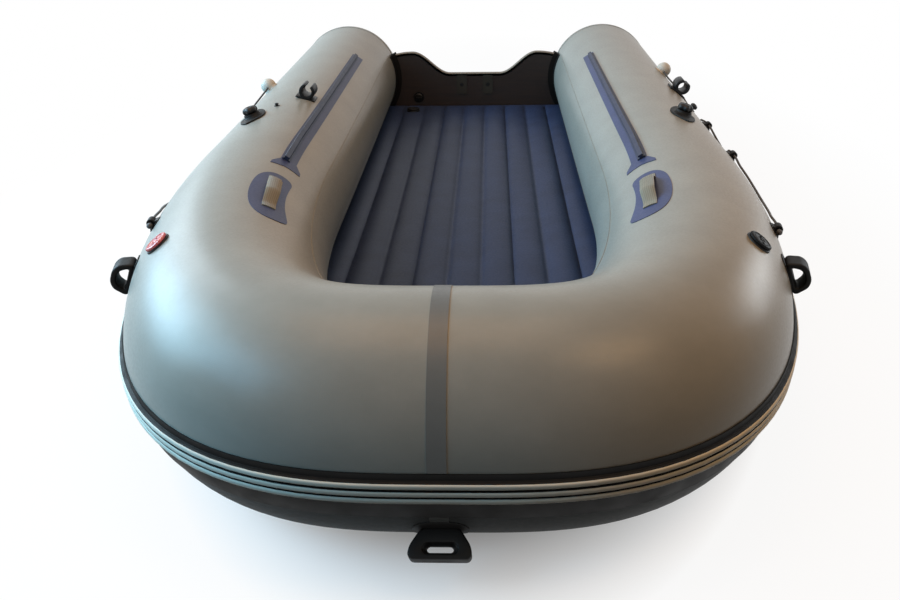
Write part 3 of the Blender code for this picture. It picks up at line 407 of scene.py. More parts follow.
def moulded_rubber(name, colour, roughness):
    """Moulded or extruded rubber: a fine even grain, duller where hands have rubbed it."""
    material, tree, shader = new_finish(name, colour, roughness)
    place = add_node(tree, "TexCoord").outputs["Object"]
    grain = add_node(tree, "TexNoise", {"Vector": place, "Scale": 900.0, "Detail": 2.0})
    bump = add_node(tree, "Bump", {"Height": grain.outputs["Fac"], "Strength": 0.15, "Distance": 0.0002})
    wear = add_node(tree, "TexNoise", {"Vector": place, "Scale": 22.0, "Detail": 5.0})
    dull = add_node(tree, "MapRange", {"Value": wear.outputs["Fac"], "From Min": 0.35, "From Max": 0.7,
                                       "To Min": roughness - 0.06, "To Max": roughness + 0.12})
    tree.links.new(bump.outputs[0], shader.inputs["Normal"])
    tree.links.new(dull.outputs[0], shader.inputs["Roughness"])
    shader.inputs["Specular IOR Level"].default_value = 0.13
    return material


# Carbon-black rubber, nearly without a shine, and a cream one for the crowns of the fender's beads.
black_rubber = moulded_rubber("black_moulded_rubber", "#0c0b0a", 0.54)
pale_rubber = moulded_rubber("pale_extruded_rubber", "#d9d4c6", 0.48)
add_piece("strake_band", tape(-strake_reach, strake_reach, strake_low, strake_high, strake_thickness),
          black_rubber, stands_for=["strake_base"])


def from_bead(y):
    """Distance across the fender to the middle of the nearest bead."""
    return min(abs(y - i * bead_pitch) for i in (-1, 0, 1))


def bead_profile(y):
    """Height of the fender on its strip, at a distance across it from its middle."""
    share = min(1.0, from_bead(y) / (bead_width / 2))
    bead = math.sqrt(max(0.0, 1 - share ** bead_squareness))
    return fender_web + (bead_height - fender_web) * bead


def fender():
    """Beads and grooves along the strip. The ends draw in and their rims reach down to it."""
    half = fender_width / 2
    shape = flat_panel(-strake_reach, strake_reach, -half, half, fender_square, fender_strip)
    # Only the crowns are pale; the beads' sides take the black rubber as painted shade in the grooves.
    for face in shape.faces:
        on_crown = from_bead(face.calc_center_median().y) < crown_width / 2
        face.material_index = 0 if on_crown else 1
    for point in shape.verts:
        ends = min(1.0, (strake_reach - abs(point.co.x)) / fender_taper)
        size = fender_end_size + (1 - fender_end_size) * math.sin(math.pi / 2 * ends)
        edge = abs(point.co.y) > half - 0.0001 or abs(point.co.x) > strake_reach - 0.0001
        point.co.z = strake_thickness + (0 if edge else bead_profile(point.co.y) * size)
        point.co.y = arc_at(bead_middle) + point.co.y * size
    return lay_on_tube(shape)


add_piece("fender", fender(), [pale_rubber, black_rubber],
          stands_for=["strake_bumper"])


# Air floor
# Two skins of the same fabric in navy, held together by rows of webs, so that it pumps up
# into nine long channels. The webs pull the skin in along each groove, where it puckers.

floor_channels = 9
channel_width = 0.088
floor_top = 0.098
groove_depth = 0.015
floor_bottom = 0.0045
floor_back = transom_place - 0.0059
floor_half = 0.455
floor_columns = 180
floor_rows = 130
closed_front = 0.12
closed_back = 0.035
closing_curve = 1.6
# Puckers about 30 mm long in the grooves, and slow swells 0.2 m across on the crowns
pucker_depth = 0.0022
swell_depth = 0.0012
# Navy fabric with a duller coating than the tubes', and a plain dark one underneath.
floor_fabric = coated_fabric("navy_pvc_fabric", "#263350", "#1e2942", 0.46, weave_depth, "UV", 0.12)
keel_fabric = coated_fabric("dark_pvc_underside", "#3c3f42", "#33363a", 0.50, weave_depth, "UV")


def channel_wave(x):
    """0 in a groove and 1 on the crown of a channel."""
    return math.sqrt(abs(math.cos(math.pi * x / channel_width)))


def channel_flatness(share):
    """1 at the floor's ends, where the channels close, and 0 between them."""
    front = min(1.0, share / closed_front)
    back = min(1.0, (1 - share) / closed_back)
    return (1 - front) ** closing_curve + (1 - back) ** closing_curve


def bow_front(x):
    """How far back from the bow the floor starts, which follows the tube's middle line."""
    share = min(0.999, abs(x) / tube_spread) ** bow_squareness
    return bow_length * (1 - math.sqrt(1 - share))


def floor_sheet(height_at, up):
    """One skin of the floor, in rows across the boat."""
    shape = bmesh.new()
    bmesh.ops.create_grid(shape, x_segments=floor_columns, y_segments=floor_rows, size=0.5)
    if not up:
        bmesh.ops.reverse_faces(shape, faces=shape.faces)
    for point in shape.verts:
        x = point.co.x * 2 * floor_half
        share = point.co.y + 0.5
        front = bow_front(x)
        y = front + (floor_back - front) * share
        wave = channel_wave(x) if abs(x) < channel_width * floor_channels / 2 else 0.0
        pucker = (1 - wave) ** 2 * noise.noise(Vector((x * 9, y * 34, 3.0))) * pucker_depth
        swell = noise.noise(Vector((x * 5, y * 4, 8.0))) * swell_depth
        z = height_at(wave * (1 - channel_flatness(share))) + sheer(y) + pucker + swell * wave
        point.co = (x, y, z)
    keep_flat_uv(shape)
    bmesh.ops.translate(shape, vec=(0, bow_y, 0), verts=shape.verts)
    return shape


def top_height(wave):
    return floor_top - groove_depth * (1 - wave)


def bottom_height(wave):
    return floor_bottom + groove_depth * (1 - wave)


add_piece("floor_top", floor_sheet(top_height, True), floor_fabric,
          stands_for=["floor_top_skin", "floor_webs"], sharp=60)
add_piece("floor_underside", floor_sheet(bottom_height, False), keel_fabric,
          stands_for=["floor_bottom_skin"], sharp=60)


# Transom
# A 25 mm marine plywood board with a dark varnish, cut down in the middle for a motor. A
# plastic strip protects its top edge, and rubber channels hold it in the boat.

board_thickness = 0.025
board_bottom = 0.021
shoulder_height = 0.312
shoulder_fall = 0.013
cutout_height = 0.221
cutout_half = 0.108
shoulder_start = 0.272
trim_thickness = 0.003
board_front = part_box("transom_board")[0][1]
board_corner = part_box("transom_edge_trim")[1][0]


def varnished_plywood():
    """Plywood under dark varnish: brown grain lines, faintly raised, under a thin clear coat."""
    material, tree, shader = new_finish("dark_varnished_plywood", "#20150f", 0.42)
    place = add_node(tree, "TexCoord").outputs["Object"]
    stretch = add_node(tree, "Mapping", {"Vector": place, "Scale": (3.0, 1.0, 34.0)})
    figure = add_node(tree, "TexNoise", {"Vector": stretch.outputs[0], "Scale": 2.2, "Detail": 7.0,
                                         "Distortion": 0.6})
    pores = add_node(tree, "TexNoise", {"Vector": stretch.outputs[0], "Scale": 26.0, "Detail": 3.0})
    lines = add_node(tree, "Math", {0: figure.outputs["Fac"], 1: pores.outputs["Fac"]},
                     operation="MULTIPLY")
    tone = add_node(tree, "MapRange", {"Value": lines.outputs[0], "From Min": 0.15, "From Max": 0.4})
    mix = add_node(tree, "Mix", {"Factor": tone.outputs[0], "A": linear("#170f0b"), "B": linear("#281b13")},
                   data_type="RGBA")
    bump = add_node(tree, "Bump", {"Height": lines.outputs[0], "Strength": 0.2, "Distance": 0.0006})
    tree.links.new(mix.outputs["Result"], shader.inputs["Base Color"])
    tree.links.new(bump.outputs[0], shader.inputs["Normal"])
    shader.inputs["Coat Weight"].default_value = 0.2
    shader.inputs["Coat Roughness"].default_value = 0.18
    return material


plywood = varnished_plywood()


def moulded_plastic(name, colour, roughness, gloss=0.3):
    """Injection-moulded plastic with a fine spark-eroded grain."""
    material, tree, shader = new_finish(name, colour, roughness)
    place = add_node(tree, "TexCoord").outputs["Object"]
    grain = add_node(tree, "TexNoise", {"Vector": place, "Scale": 1400.0, "Detail": 1.0})
    bump = add_node(tree, "Bump", {"Height": grain.outputs["Fac"], "Strength": 0.12, "Distance": 0.0001})
    cloud = add_node(tree, "TexNoise", {"Vector": place, "Scale": 40.0, "Detail": 3.0})
    shine = add_node(tree, "MapRange", {"Value": cloud.outputs["Fac"], "From Min": 0.3, "From Max": 0.7,
                                        "To Min": roughness - 0.04, "To Max": roughness + 0.05})
    tree.links.new(bump.outputs[0], shader.inputs["Normal"])
    tree.links.new(shine.outputs[0], shader.inputs["Roughness"])
    shader.inputs["Specular IOR Level"].default_value = gloss
    return material


# Grey-brown edging that shows as the pale line along the board's top.
trim_plastic = moulded_plastic("brown_trim_plastic", "#6f675c", 0.42)
# Black nylon, satin, which shows its shape only by small soft glints.
black_plastic = moulded_plastic("black_nylon", "#111213", 0.40, 0.2)


def board_top(x):
    """Height of the board's top: the cut-out, a soft slope and the falling shoulders."""
    share = (abs(x) - cutout_half) / (shoulder_start - cutout_half)
    share = min(1.0, max(0.0, share))
    fall = shoulder_fall * (max(0.0, abs(x) - shoulder_start) / (board_corner - shoulder_start)) ** 2
    return cutout_height + (shoulder_height - cutout_height) * (1 - math.cos(math.pi * share)) / 2 - fall


def axis_point(index, amount, rest=(0, 0)):
    """A point or direction with an amount along one axis (0 is X) and a pair for the others."""
    return (*rest[:index], amount, *rest[index:])


def thicken(shape, faces, way):
    """Pushes flat faces a way along, and turns every face of the block outwards."""
    push = bmesh.ops.extrude_face_region(shape, geom=faces)
    moved = [v for v in push["geom"] if isinstance(v, bmesh.types.BMVert)]
    bmesh.ops.translate(shape, vec=way, verts=moved)
    bmesh.ops.recalc_face_normals(shape, faces=shape.faces)


def round_off(shape, geometry, radius, segments, affect="EDGES"):
    """Bevels edges, or the corners of a flat outline, to a round."""
    bmesh.ops.bevel(shape, geom=geometry, offset=radius, offset_type="OFFSET", segments=segments,
                    profile=0.5, affect=affect, material=-1, clamp_overlap=True)


def rounded_block(outline, axis, low, high, radius, segments=3):
    """An outline pushed along an axis, with its rims rounded."""
    shape = bmesh.new()
    index = "xyz".index(axis)
    base = shape.faces.new([shape.verts.new(axis_point(index, low, corner)) for corner in outline])
    thicken(shape, [base], axis_point(index, high - low))
    if radius:
        rims = [e for e in shape.edges if abs(e.verts[0].co[index] - e.verts[1].co[index]) < 1e-6]
        round_off(shape, rims, radius, segments)
    return shape


board_edge_gap = 0.0055
board_rim = 0.0015
board_columns = 96
board_rows = 24


def board_half(z):
    """Half the board's width at a height, where it meets its rubber channels."""
    reach = tube_radius + board_edge_gap
    return tube_spread - math.sqrt(max(0.0, reach ** 2 - (z - rest_height) ** 2))


def board_sheet():
    """The board's front face in even strips, then its thickness, then its rounded rim. Its
    width depends on the height, and its top on the place across: both are found in turns."""
    shape = bmesh.new()
    bmesh.ops.create_grid(shape, x_segments=board_columns, y_segments=board_rows, size=0.5)
    for point in shape.verts:
        across, share = point.co.x * 2, point.co.y + 0.5
        x = across * board_half(rest_height)
        for _ in range(8):
            z = board_bottom + (board_top(x) - board_bottom) * share
            x = across * board_half(z)
        point.co = (x, board_front, z)
    thicken(shape, shape.faces[:], (0, board_thickness, 0))
    rims = [e for e in shape.edges if e.is_manifold and e.calc_face_angle() > 1.2]
    round_off(shape, rims, board_rim, 2)
    return shape


add_piece("board", board_sheet(), plywood, stands_for=["transom_board"], sharp=30)

trim_leg = 0.009
trim_wall = 0.0012
trim_gap = 0.0003
trim_columns = 120
trim_slope_reach = 0.001


def trim_sheet():
    """A clip-on edging: two thin legs and a rounded back over the board's top."""
    shape = bmesh.new()
    half = board_thickness / 2 + trim_wall
    section = [(-half, -trim_leg), (-half, 0.0)]
    for degrees in range(10, 171, 10):
        turn = math.radians(degrees)
        section.append((-half * math.cos(turn), trim_thickness * math.sin(turn)))
    section += [(half, 0.0), (half, -trim_leg)]
    wide = board_half(shoulder_height - shoulder_fall)
    bmesh.ops.create_grid(shape, x_segments=trim_columns, y_segments=len(section) - 1, size=0.5)
    for point in shape.verts:
        y, lift = section[round((point.co.y + 0.5) * (len(section) - 1))]
        x = point.co.x * 2 * wide
        rise = board_top(x + trim_slope_reach) - board_top(x - trim_slope_reach)
        out = Vector((-rise / (2 * trim_slope_reach), 1)).normalized() * lift
        point.co = (x + out.x, board_front + board_thickness / 2 + y, board_top(x) + trim_gap + out.y)
    bmesh.ops.solidify(shape, geom=shape.faces[:], thickness=-trim_wall)
    bmesh.ops.recalc_face_normals(shape, faces=shape.faces)
    return shape


add_piece("board_trim", trim_sheet(), trim_plastic, stands_for=["transom_edge_trim"],
          sharp=50)

holder_middle = side_start + transom_place + board_thickness / 2
holder_gap = 0.0003
holder_wall = 0.005
holder_height = 0.025
holder_foot = 0.035
holder_low = 153
holder_high = 234


def slice_at(shape, index, place):
    """Cuts the faces that cross a plane, which lies square to an axis (0 is X)."""
    everything = shape.verts[:] + shape.edges[:] + shape.faces[:]
    bmesh.ops.bisect_plane(shape, geom=everything, dist=1e-6, plane_co=axis_point(index, place),
                           plane_no=axis_point(index, 1))


def side_channel(side):
    """Rubber channel that grips the board's side edge, with a foot glued on the tube."""
    middle = side * holder_middle
    inner = board_thickness / 2 + holder_gap
    outer = inner + holder_wall
    half = [(inner, 0.0045), (inner, holder_height), (outer, holder_height), (outer, 0.0055),
            (outer + 0.004, 0.0045), (holder_foot, 0.002), (holder_foot, -0.0008)]
    section = half + [(-x, z) for x, z in reversed(half)]
    section = [(middle + x, z) for x, z in section]
    shape = rounded_block(section, "y", arc_at(holder_low), arc_at(holder_high), 0.001, 2)
    for degrees in range(holder_low + 3, holder_high, 3):
        slice_at(shape, 1, arc_at(degrees))
    return lay_on_tube(shape)


for name, side in sides.items():
    add_piece(name + "_board_holder", side_channel(side), black_rubber,
              stands_for=[name + "_transom_holder"])

frame["nodes"]["transom_sill"].data.materials[0] = black_rubber


# Motor pads, plate and drain
# Plastic pads spread the load of a motor's clamp. Two countersunk bolts of blackened
# steel hold them and the plate behind. The drain is a screwed nylon flange, with a plug
# that has a wing.

# Dark metal whose glints break up in specks under 2 mm across.
steel, steel_tree, steel_shader = new_finish("blackened_steel", "#3a3a3a", 0.4, 1.0)
steel_place = add_node(steel_tree, "TexCoord").outputs["Object"]
steel_specks = add_node(steel_tree, "TexNoise", {"Vector": steel_place, "Scale": 600.0, "Detail": 2.0})
steel_shine = add_node(steel_tree, "MapRange", {"Value": steel_specks.outputs["Fac"], "To Min": 0.26,
                                                "To Max": 0.46})
steel_tree.links.new(steel_shine.outputs[0], steel_shader.inputs["Roughness"])
# Warm near-black plastic, duller than the varnish round it.
pad_plastic = moulded_plastic("dark_pad_plastic", "#2b2822", 0.5)
for node, finish in {"motor_plate": black_plastic, "port_motor_bolt": steel, "starboard_motor_bolt": steel,
                     "drain_body": black_plastic, "drain_plug": black_plastic}.items():
    frame["nodes"][node].data.materials[0] = finish
for node in ("port_motor_pad", "starboard_motor_pad"):
    frame["nodes"][node].data.materials[0] = pad_plastic


# Valves
# Each has a nylon body clamped in the fabric and a cap that closes it with a quarter turn.
# The cap's rim is knurled, and its face has a ring, a dished middle and two low grips.

flange_radius = 0.028
flange_height = 0.0034
barrel_radius = 0.018
valve_bore = 0.0145
valve_depth = 0.030
valve_foot_bore = 0.0095
cap_radius = 0.0255
cap_height = 0.006
cap_plug = 0.0138
cap_plug_depth = 0.008
knurl_count = 30
knurl_depth = 0.016
cap_gap = 0.0004
cap_base = flange_height + cap_gap
joints = {joint["name"]: joint for joint in frame["joints"]}
# Matt black for two caps, and for the starboard one a polished red that takes sharp glints.
cap_plastic = moulded_plastic("black_cap_abs", "#0b0b0c", 0.5, 0.1)
red_plastic = moulded_plastic("red_abs", "#b3202b", 0.26, 1.0)


def frame_on_axis(joint, along):
    """A frame at a joint's place: Z up its axis and X as near as can be to a direction."""
    z_axis = Vector(joint["axis"]).normalized()
    y_axis = z_axis.cross(along).normalized()
    x_axis = y_axis.cross(z_axis)
    turned = Matrix((x_axis, y_axis, z_axis)).transposed().to_4x4()
    return Matrix.Translation(joint["pos_m"]) @ turned


def lobe(point, count, depth):
    """Moves a point out or in, so that a round rim gets a number of equal lobes."""
    wave = 1 + depth * math.cos(count * math.atan2(point.co.y, point.co.x))
    point.co.x *= wave
    point.co.y *= wave


def valve_body():
    """A flange on the fabric and a barrel inside the tube, with an inner rim at its foot."""
    profile = [(valve_bore, 0.0004), (valve_bore, flange_height - 0.0006),
               (valve_bore + 0.0006, flange_height), (flange_radius - 0.0022, flange_height),
               (flange_radius - 0.0007, flange_height - 0.0006),
               (flange_radius, flange_height - 0.002), (flange_radius, -0.001), (barrel_radius, -0.001),
               (barrel_radius, -valve_depth), (valve_foot_bore, -valve_depth),
               (valve_foot_bore, 0.003 - valve_depth), (valve_bore, 0.003 - valve_depth),
               (valve_bore, 0.0004)]
    return spun(profile, 64)


def valve_cap():
    """A plug, a knurled rim and a dished face with a ring."""
    low = cap_base
    top = low + cap_height
    edge = cap_radius
    profile = [(0.0, -cap_plug_depth), (cap_plug, -cap_plug_depth), (cap_plug, low), (edge - 0.001, low),
               (edge, low + 0.001), (edge, top - 0.0024), (edge - 0.0007, top - 0.0008),
               (edge - 0.002, top), (edge * 0.80, top), (edge * 0.76, top - 0.0012),
               (edge * 0.68, top - 0.0012), (edge * 0.64, top - 0.0002), (edge * 0.34, top - 0.0004),
               (edge * 0.30, top - 0.0016), (edge * 0.17, top - 0.0018), (edge * 0.14, top - 0.0003),
               (edge * 0.08, top + 0.0003), (0.0, top + 0.0004)]
    shape = spun(profile, 120)
    for point in shape.verts:
        if point.co.xy.length > edge - 0.0012:
            lobe(point, knurl_count, knurl_depth)
    return shape


def join_shapes(first, *others):
    """Adds other shapes to the first, as one mesh."""
    for other in others:
        mesh = bpy.data.meshes.new("part")
        other.to_mesh(mesh)
        other.free()
        first.from_mesh(mesh)
        bpy.data.meshes.remove(mesh)
    return first


def grip_bar(side):
    """A low finger bar on the cap's face."""
    top = cap_base + cap_height
    near, far = sorted((side * 0.010, side * 0.0165))
    outline = [(near, -0.0016), (far, -0.0016), (far, 0.0016), (near, 0.0016)]
    return rounded_block(outline, "z", top - 0.002, top + 0.0012, 0.0007)


for name in ("port", "starboard", "floor"):
    joint = joints[name + "_valve_cap_turn"]
    run = Vector((1, 0, 0)) if name == "floor" else Vector((0, 1, 0))
    place = frame_on_axis(joint, run)
    colour, slot = (red_plastic, "red_plastic") if name == "starboard" else (cap_plastic, "black_plastic")
    add_piece(name + "_valve_flange", placed(valve_body(), place), black_plastic,
              stands_for=[name + "_valve_body"])
    cap = join_shapes(valve_cap(), grip_bar(1), grip_bar(-1))
    add_piece(name + "_valve_lid", placed(cap, place), colour, body=name + "_valve_cap",
              stands_for=[name + "_valve_cap"])
    frame["nodes"][name + "_valve_stem"].data.materials[0] = black_plastic


# Rowlocks
# An eye-shaped rubber pad is glued on the tube. It carries a collar, in which the pin of
# the lobed nylon head turns all the way round.

rowlock_s = 1.54
rowlock_angle = 72.0
rowlock_half_length = 0.0825
rowlock_half_width = 0.036
rowlock_thickness = 0.0045
collar_radius = 0.023
collar_height = 0.014
knob_radius = 0.021
knob_height = 0.018
knob_lobes = 6
knob_lobe_depth = 0.07
pin_radius = 0.007
pad_sink = 0.001
pad_steps = (0.02, 0.007)


def arc_points(radius, start, end, count, middle=(0.0, 0.0)):
    """Points along an arc, by angle in degrees."""
    turns = [math.radians(start + (end - start) * i / count) for i in range(count + 1)]
    return [(middle[0] + radius * math.cos(a), middle[1] + radius * math.sin(a)) for a in turns]


def eye_outline(half, wide):
    """Two arcs that meet in a point at each end."""
    radius = (half ** 2 + wide ** 2) / (2 * wide)
    sweep = math.degrees(math.asin(half / radius))
    top = arc_points(radius, 90 - sweep, 90 + sweep, 24, (0, wide - radius))
    bottom = arc_points(radius, 270 - sweep, 270 + sweep, 24, (0, radius - wide))
    return top[:-1] + bottom[:-1]


def cut_in_rows(shape, steps):
    """Cuts a flat shape at even steps, so that it can bend round the tube."""
    for axis, step in enumerate(steps):
        low = min(v.co[axis] for v in shape.verts)
        high = max(v.co[axis] for v in shape.verts)
        count = math.ceil((high - low) / step)
        for i in range(1, count):
            slice_at(shape, axis, low + (high - low) * i / count)


def on_tube_at(shape, place):
    """A flat shape made round zero, moved to its place and laid on the tube."""
    bmesh.ops.translate(shape, vec=(*place, 0), verts=shape.verts)
    return lay_on_tube(shape)


def moulded_pad(outline, thickness, rim, place):
    """A flat rubber pad with a rounded rim, laid on the tube at a place."""
    shape = rounded_block(outline, "z", -pad_sink, thickness, rim)
    cut_in_rows(shape, pad_steps)
    return on_tube_at(shape, place)


def collar():
    """A short round post on the pad, bored for the pin and flared at its foot."""
    bore = pin_radius + 0.0006
    rim = collar_radius
    top = collar_height
    pad = rowlock_thickness
    return spun([(bore, 0.001), (bore, top - 0.001), (bore + 0.001, top), (rim - 0.003, top),
                 (rim - 0.0009, top - 0.0009), (rim, top - 0.003), (rim + 0.0004, pad + 0.003),
                 (rim + 0.0022, pad + 0.0008), (rim + 0.0055, pad - 0.0006), (rim + 0.0055, 0.001),
                 (bore, 0.001)], 64)


def rowlock_head():
    """A pin and on it a squat knob with lobes, dished on top."""
    low = collar_height + 0.0006
    top = low + knob_height
    wide = knob_radius
    profile = [(0.0, 0.0022), (pin_radius - 0.001, 0.0022), (pin_radius, 0.0032), (pin_radius, low),
               (wide * 0.78, low), (wide * 0.93, low + 0.0012), (wide, low + 0.004), (wide, low + 0.0095),
               (wide * 0.95, low + 0.012), (wide * 0.84, top - 0.0022), (wide * 0.66, top - 0.0006),
               (wide * 0.5, top), (wide * 0.36, top), (wide * 0.3, top - 0.0018), (0.0, top - 0.0022)]
    shape = spun(profile, 96)
    for point in shape.verts:
        if point.co.z > low + 0.0001:
            lobe(point, knob_lobes, knob_lobe_depth)
    return shape


for name, side in sides.items():
    joint = joints[name + "_rowlock_swivel_turn"]
    place = frame_on_axis(joint, Vector((0, 1, 0)))
    pad = moulded_pad(eye_outline(rowlock_half_length, rowlock_half_width), rowlock_thickness, 0.0018,
                      (side * rowlock_s, arc_at(rowlock_angle)))
    add_piece(name + "_rowlock_pad", join_shapes(pad, placed(collar(), place)), black_rubber,
              stands_for=[name + "_rowlock_base"])
    add_piece(name + "_rowlock_head", placed(rowlock_head(), place), black_plastic,
              body=name + "_rowlock_swivel", stands_for=[name + "_rowlock_swivel"])


# Oar clips
# Each is a moulded nylon ring, open at the top, that the oar's shaft snaps into. Its flat
# foot is glued on the tube, a little behind the rowlock.

clip_length = 0.056
clip_bore = 0.0145
clip_wall = 0.0095
clip_foot = 0.060
clip_foot_height = 0.0045
clip_mouth = 38.0
clip_rim = 0.0016
# Distance along the tube, angle round it and tilt, which is the angle that it faces
clip_places = {"port": (1.96, 52.0, 52.0), "starboard": (-1.76, 104.0, 108.0)}


def seat(s, degrees, tilt=None):
    """Frame on the skin: X along the tube and Z outwards, or at a tilt of its own."""
    arc = arc_at(degrees)
    lean = arc_at(degrees if tilt is None else tilt)
    x_axis = (on_tube(s + 0.002, lean, 0) - on_tube(s - 0.002, lean, 0)).normalized()
    across = on_tube(s, lean + 0.002, 0) - on_tube(s, lean - 0.002, 0)
    z_axis = x_axis.cross(across).normalized()
    turned = Matrix((x_axis, z_axis.cross(x_axis), z_axis)).transposed().to_4x4()
    return Matrix.Translation(on_tube(s, arc, 0)) @ turned


def oar_clip():
    """Section of a ring with a mouth and rounded lips on a flat foot, pushed along."""
    outer = clip_bore + clip_wall
    middle = outer + 0.001
    foot = clip_foot_height
    join = math.degrees(math.asin((foot - middle) / outer))
    half = clip_foot / 2
    tip = clip_wall / 2
    lip = clip_bore + tip
    mouth = math.radians(clip_mouth)
    right_tip = (lip * math.sin(mouth), middle + lip * math.cos(mouth))
    left_tip = (-right_tip[0], right_tip[1])
    section = [(half, -0.001), (half, foot - 0.001), (half - 0.004, foot)]
    section += arc_points(outer, join, 90 - clip_mouth, 20, (0, middle))
    section += arc_points(tip, 90 - clip_mouth, 270 - clip_mouth, 8, right_tip)[1:-1]
    section += arc_points(clip_bore, 90 - clip_mouth, -270 + clip_mouth, 36, (0, middle))
    section += arc_points(tip, clip_mouth - 90, 90 + clip_mouth, 8, left_tip)[1:-1]
    section += arc_points(outer, 90 + clip_mouth, 180 - join, 20, (0, middle))
    section += [(0.004 - half, foot), (-half, foot - 0.001), (-half, -0.001)]
    return rounded_block(section, "x", -clip_length / 2, clip_length / 2, clip_rim, 2)


for name, place in clip_places.items():
    add_piece(name + "_clip", placed(oar_clip(), seat(*place)), black_plastic,
              stands_for=[name + "_oar_clip"], sharp=50)


# Carrying handles
# Moulded rubber loops on oval pads, glued at the sides and under the bow. They are thick,
# a little soft and rounded all over for the hand.

handle_s = 0.75
handle_angle = 20.0
bow_handle_s = -0.010
bow_handle_angle = -36.0
# Half length and half width
handle_pad = (0.030, 0.048)
bow_handle_pad = (0.045, 0.040)
handle_pad_thickness = 0.0022
handle_pad_rim = 0.0009
# Shares of a loop's half depth: where it is sliced, and how far the waist of its hole goes
loop_slices = (-0.6, -0.3, 0.0, 0.3, 0.6)
waist_reach = 0.7


def round_corners(corners, radius):
    """An outline with its corners rounded."""
    flat = bmesh.new()
    flat.faces.new([flat.verts.new((a, b, 0)) for a, b in corners])
    round_off(flat, flat.verts[:], radius, 6, "VERTICES")
    points = [(v.co.x, v.co.y) for v in flat.faces[:][0].verts]
    flat.free()
    return points


def moulded_loop(outer, hole, axis, half, rim, waist=0.0):
    """A flat ring of rubber, pushed along an axis and rounded at its rims. Its hole draws
    in by a share of its size half way along, as the bars round it are thickest there."""
    shape = bmesh.new()
    index = "xyz".index(axis)
    for loop in (outer, hole):
        points = [shape.verts.new(axis_point(index, -half, corner)) for corner in loop]
        for pair in zip(points, points[1:] + points[:1]):
            shape.edges.new(pair)
    bmesh.ops.bridge_loops(shape, edges=shape.edges[:])
    thicken(shape, shape.faces[:], axis_point(index, 2 * half))
    rims = [e for e in shape.edges if e.is_manifold and e.calc_face_angle() > 0.8
            and abs(e.verts[0].co[index] - e.verts[1].co[index]) < 1e-6]
    round_off(shape, rims, rim, 4)
    for share in loop_slices:
        slice_at(shape, index, share * half)
    across = 1 - index
    middle = [sum(point[i] for point in hole) / len(hole) for i in (0, 1)]
    reach = [max(abs(point[i] - middle[i]) for point in hole) + 0.0005 for i in (0, 1)]
    for point in shape.verts:
        away = (point.co[across] - middle[0], point.co.z - middle[1])
        depth = abs(point.co[index]) / half
        if depth < waist_reach and all(abs(a) < r for a, r in zip(away, reach)):
            draw = 1 - waist * (1 - (depth / waist_reach) ** 2)
            point.co[across] = middle[0] + away[0] * (1 + draw) / 2
            point.co.z = middle[1] + away[1] * draw
    return shape


def side_grip():
    """A loop wider at its foot than at its top, to carry the boat at its side."""
    outer = round_corners([(-0.039, 0.0005), (0.039, 0.0005), (0.020, 0.0415), (-0.020, 0.0415)], 0.015)
    hole = round_corners([(-0.0250, 0.0083), (0.0250, 0.0083), (0.0118, 0.030), (-0.0118, 0.030)], 0.009)
    return moulded_loop(outer, hole, "x", half=0.022, rim=0.0036, waist=0.2)


def bow_grip():
    """A broad loop on a narrow foot, to drag and carry the boat by its bow."""
    outer = round_corners([(-0.031, 0.0005), (0.031, 0.0005), (0.0495, 0.031), (0.0495, 0.050),
                           (-0.0495, 0.050), (-0.0495, 0.031)], 0.0092)
    hole = round_corners([(-0.0225, 0.024), (0.0225, 0.024), (0.028, 0.0325), (0.0238, 0.041),
                          (-0.0238, 0.041), (-0.028, 0.0325)], 0.004)
    return moulded_loop(outer, hole, "y", half=0.015, rim=0.0032, waist=0.45)


oval_points = 48


def oval(half_length, half_width, power=2.6):
    """A rounded oblong, between an ellipse and a rectangle."""
    points = []
    for i in range(oval_points):
        turn = 2 * math.pi * i / oval_points
        x, y = math.cos(turn), math.sin(turn)
        points.append((math.copysign(half_length * abs(x) ** (2 / power), x),
                       math.copysign(half_width * abs(y) ** (2 / power), y)))
    return points


handles = {"port": (handle_s, handle_angle, side_grip, handle_pad),
           "starboard": (-handle_s, handle_angle, side_grip, handle_pad),
           "bow": (bow_handle_s, bow_handle_angle, bow_grip, bow_handle_pad)}
for name, (s, degrees, grip, pad_size) in handles.items():
    place = (s, arc_at(degrees))
    pad = moulded_pad(oval(*pad_size), handle_pad_thickness, handle_pad_rim, place)
    add_piece(name + "_carry_handle", join_shapes(pad, on_tube_at(grip(), place)), black_rubber,
              stands_for=[name + "_handle"], sharp=55)


# Grab loops
# A patch of blue fabric glued on the tube, and a webbing strap sewn and glued to it at its
# two ends, so that it stands up in an arch for a hand.

grab_s = 0.905
grab_angle = 118.0
patch_thickness = 0.0012
strap_length = 0.215
strap_width = 0.031
strap_thickness = 0.0025
strap_rise = 0.021
strap_curl = 0.0035
strap_tab = 0.02
strap_ramp_end = 0.34
strap_square = 0.004
strap_strip = 0.0026
webbing_rib_mm = 2.2
webbing_row_mm = 4.0
patch_steps = (0.03, 0.01)
# Muted blue fabric of the same make, duller than the tubes so that it reads as a cut-out.
patch_fabric = coated_fabric("blue_grey_pvc_fabric", "#3b4364", "#343b58", 0.44, tape_weave_depth, "UV",
                             0.15)

# Distance along the tube and round it, from the patch's middle
patch_outline = [(0.122, 0.045), (0.142, 0.020), (0.142, -0.014), (0.105, -0.040), (0.035, -0.049),
                 (-0.050, -0.050), (-0.118, -0.042), (-0.160, -0.024), (-0.178, 0.006), (-0.166, 0.047),
                 (-0.115, 0.043), (-0.060, 0.037), (0.010, 0.036), (0.070, 0.040)]


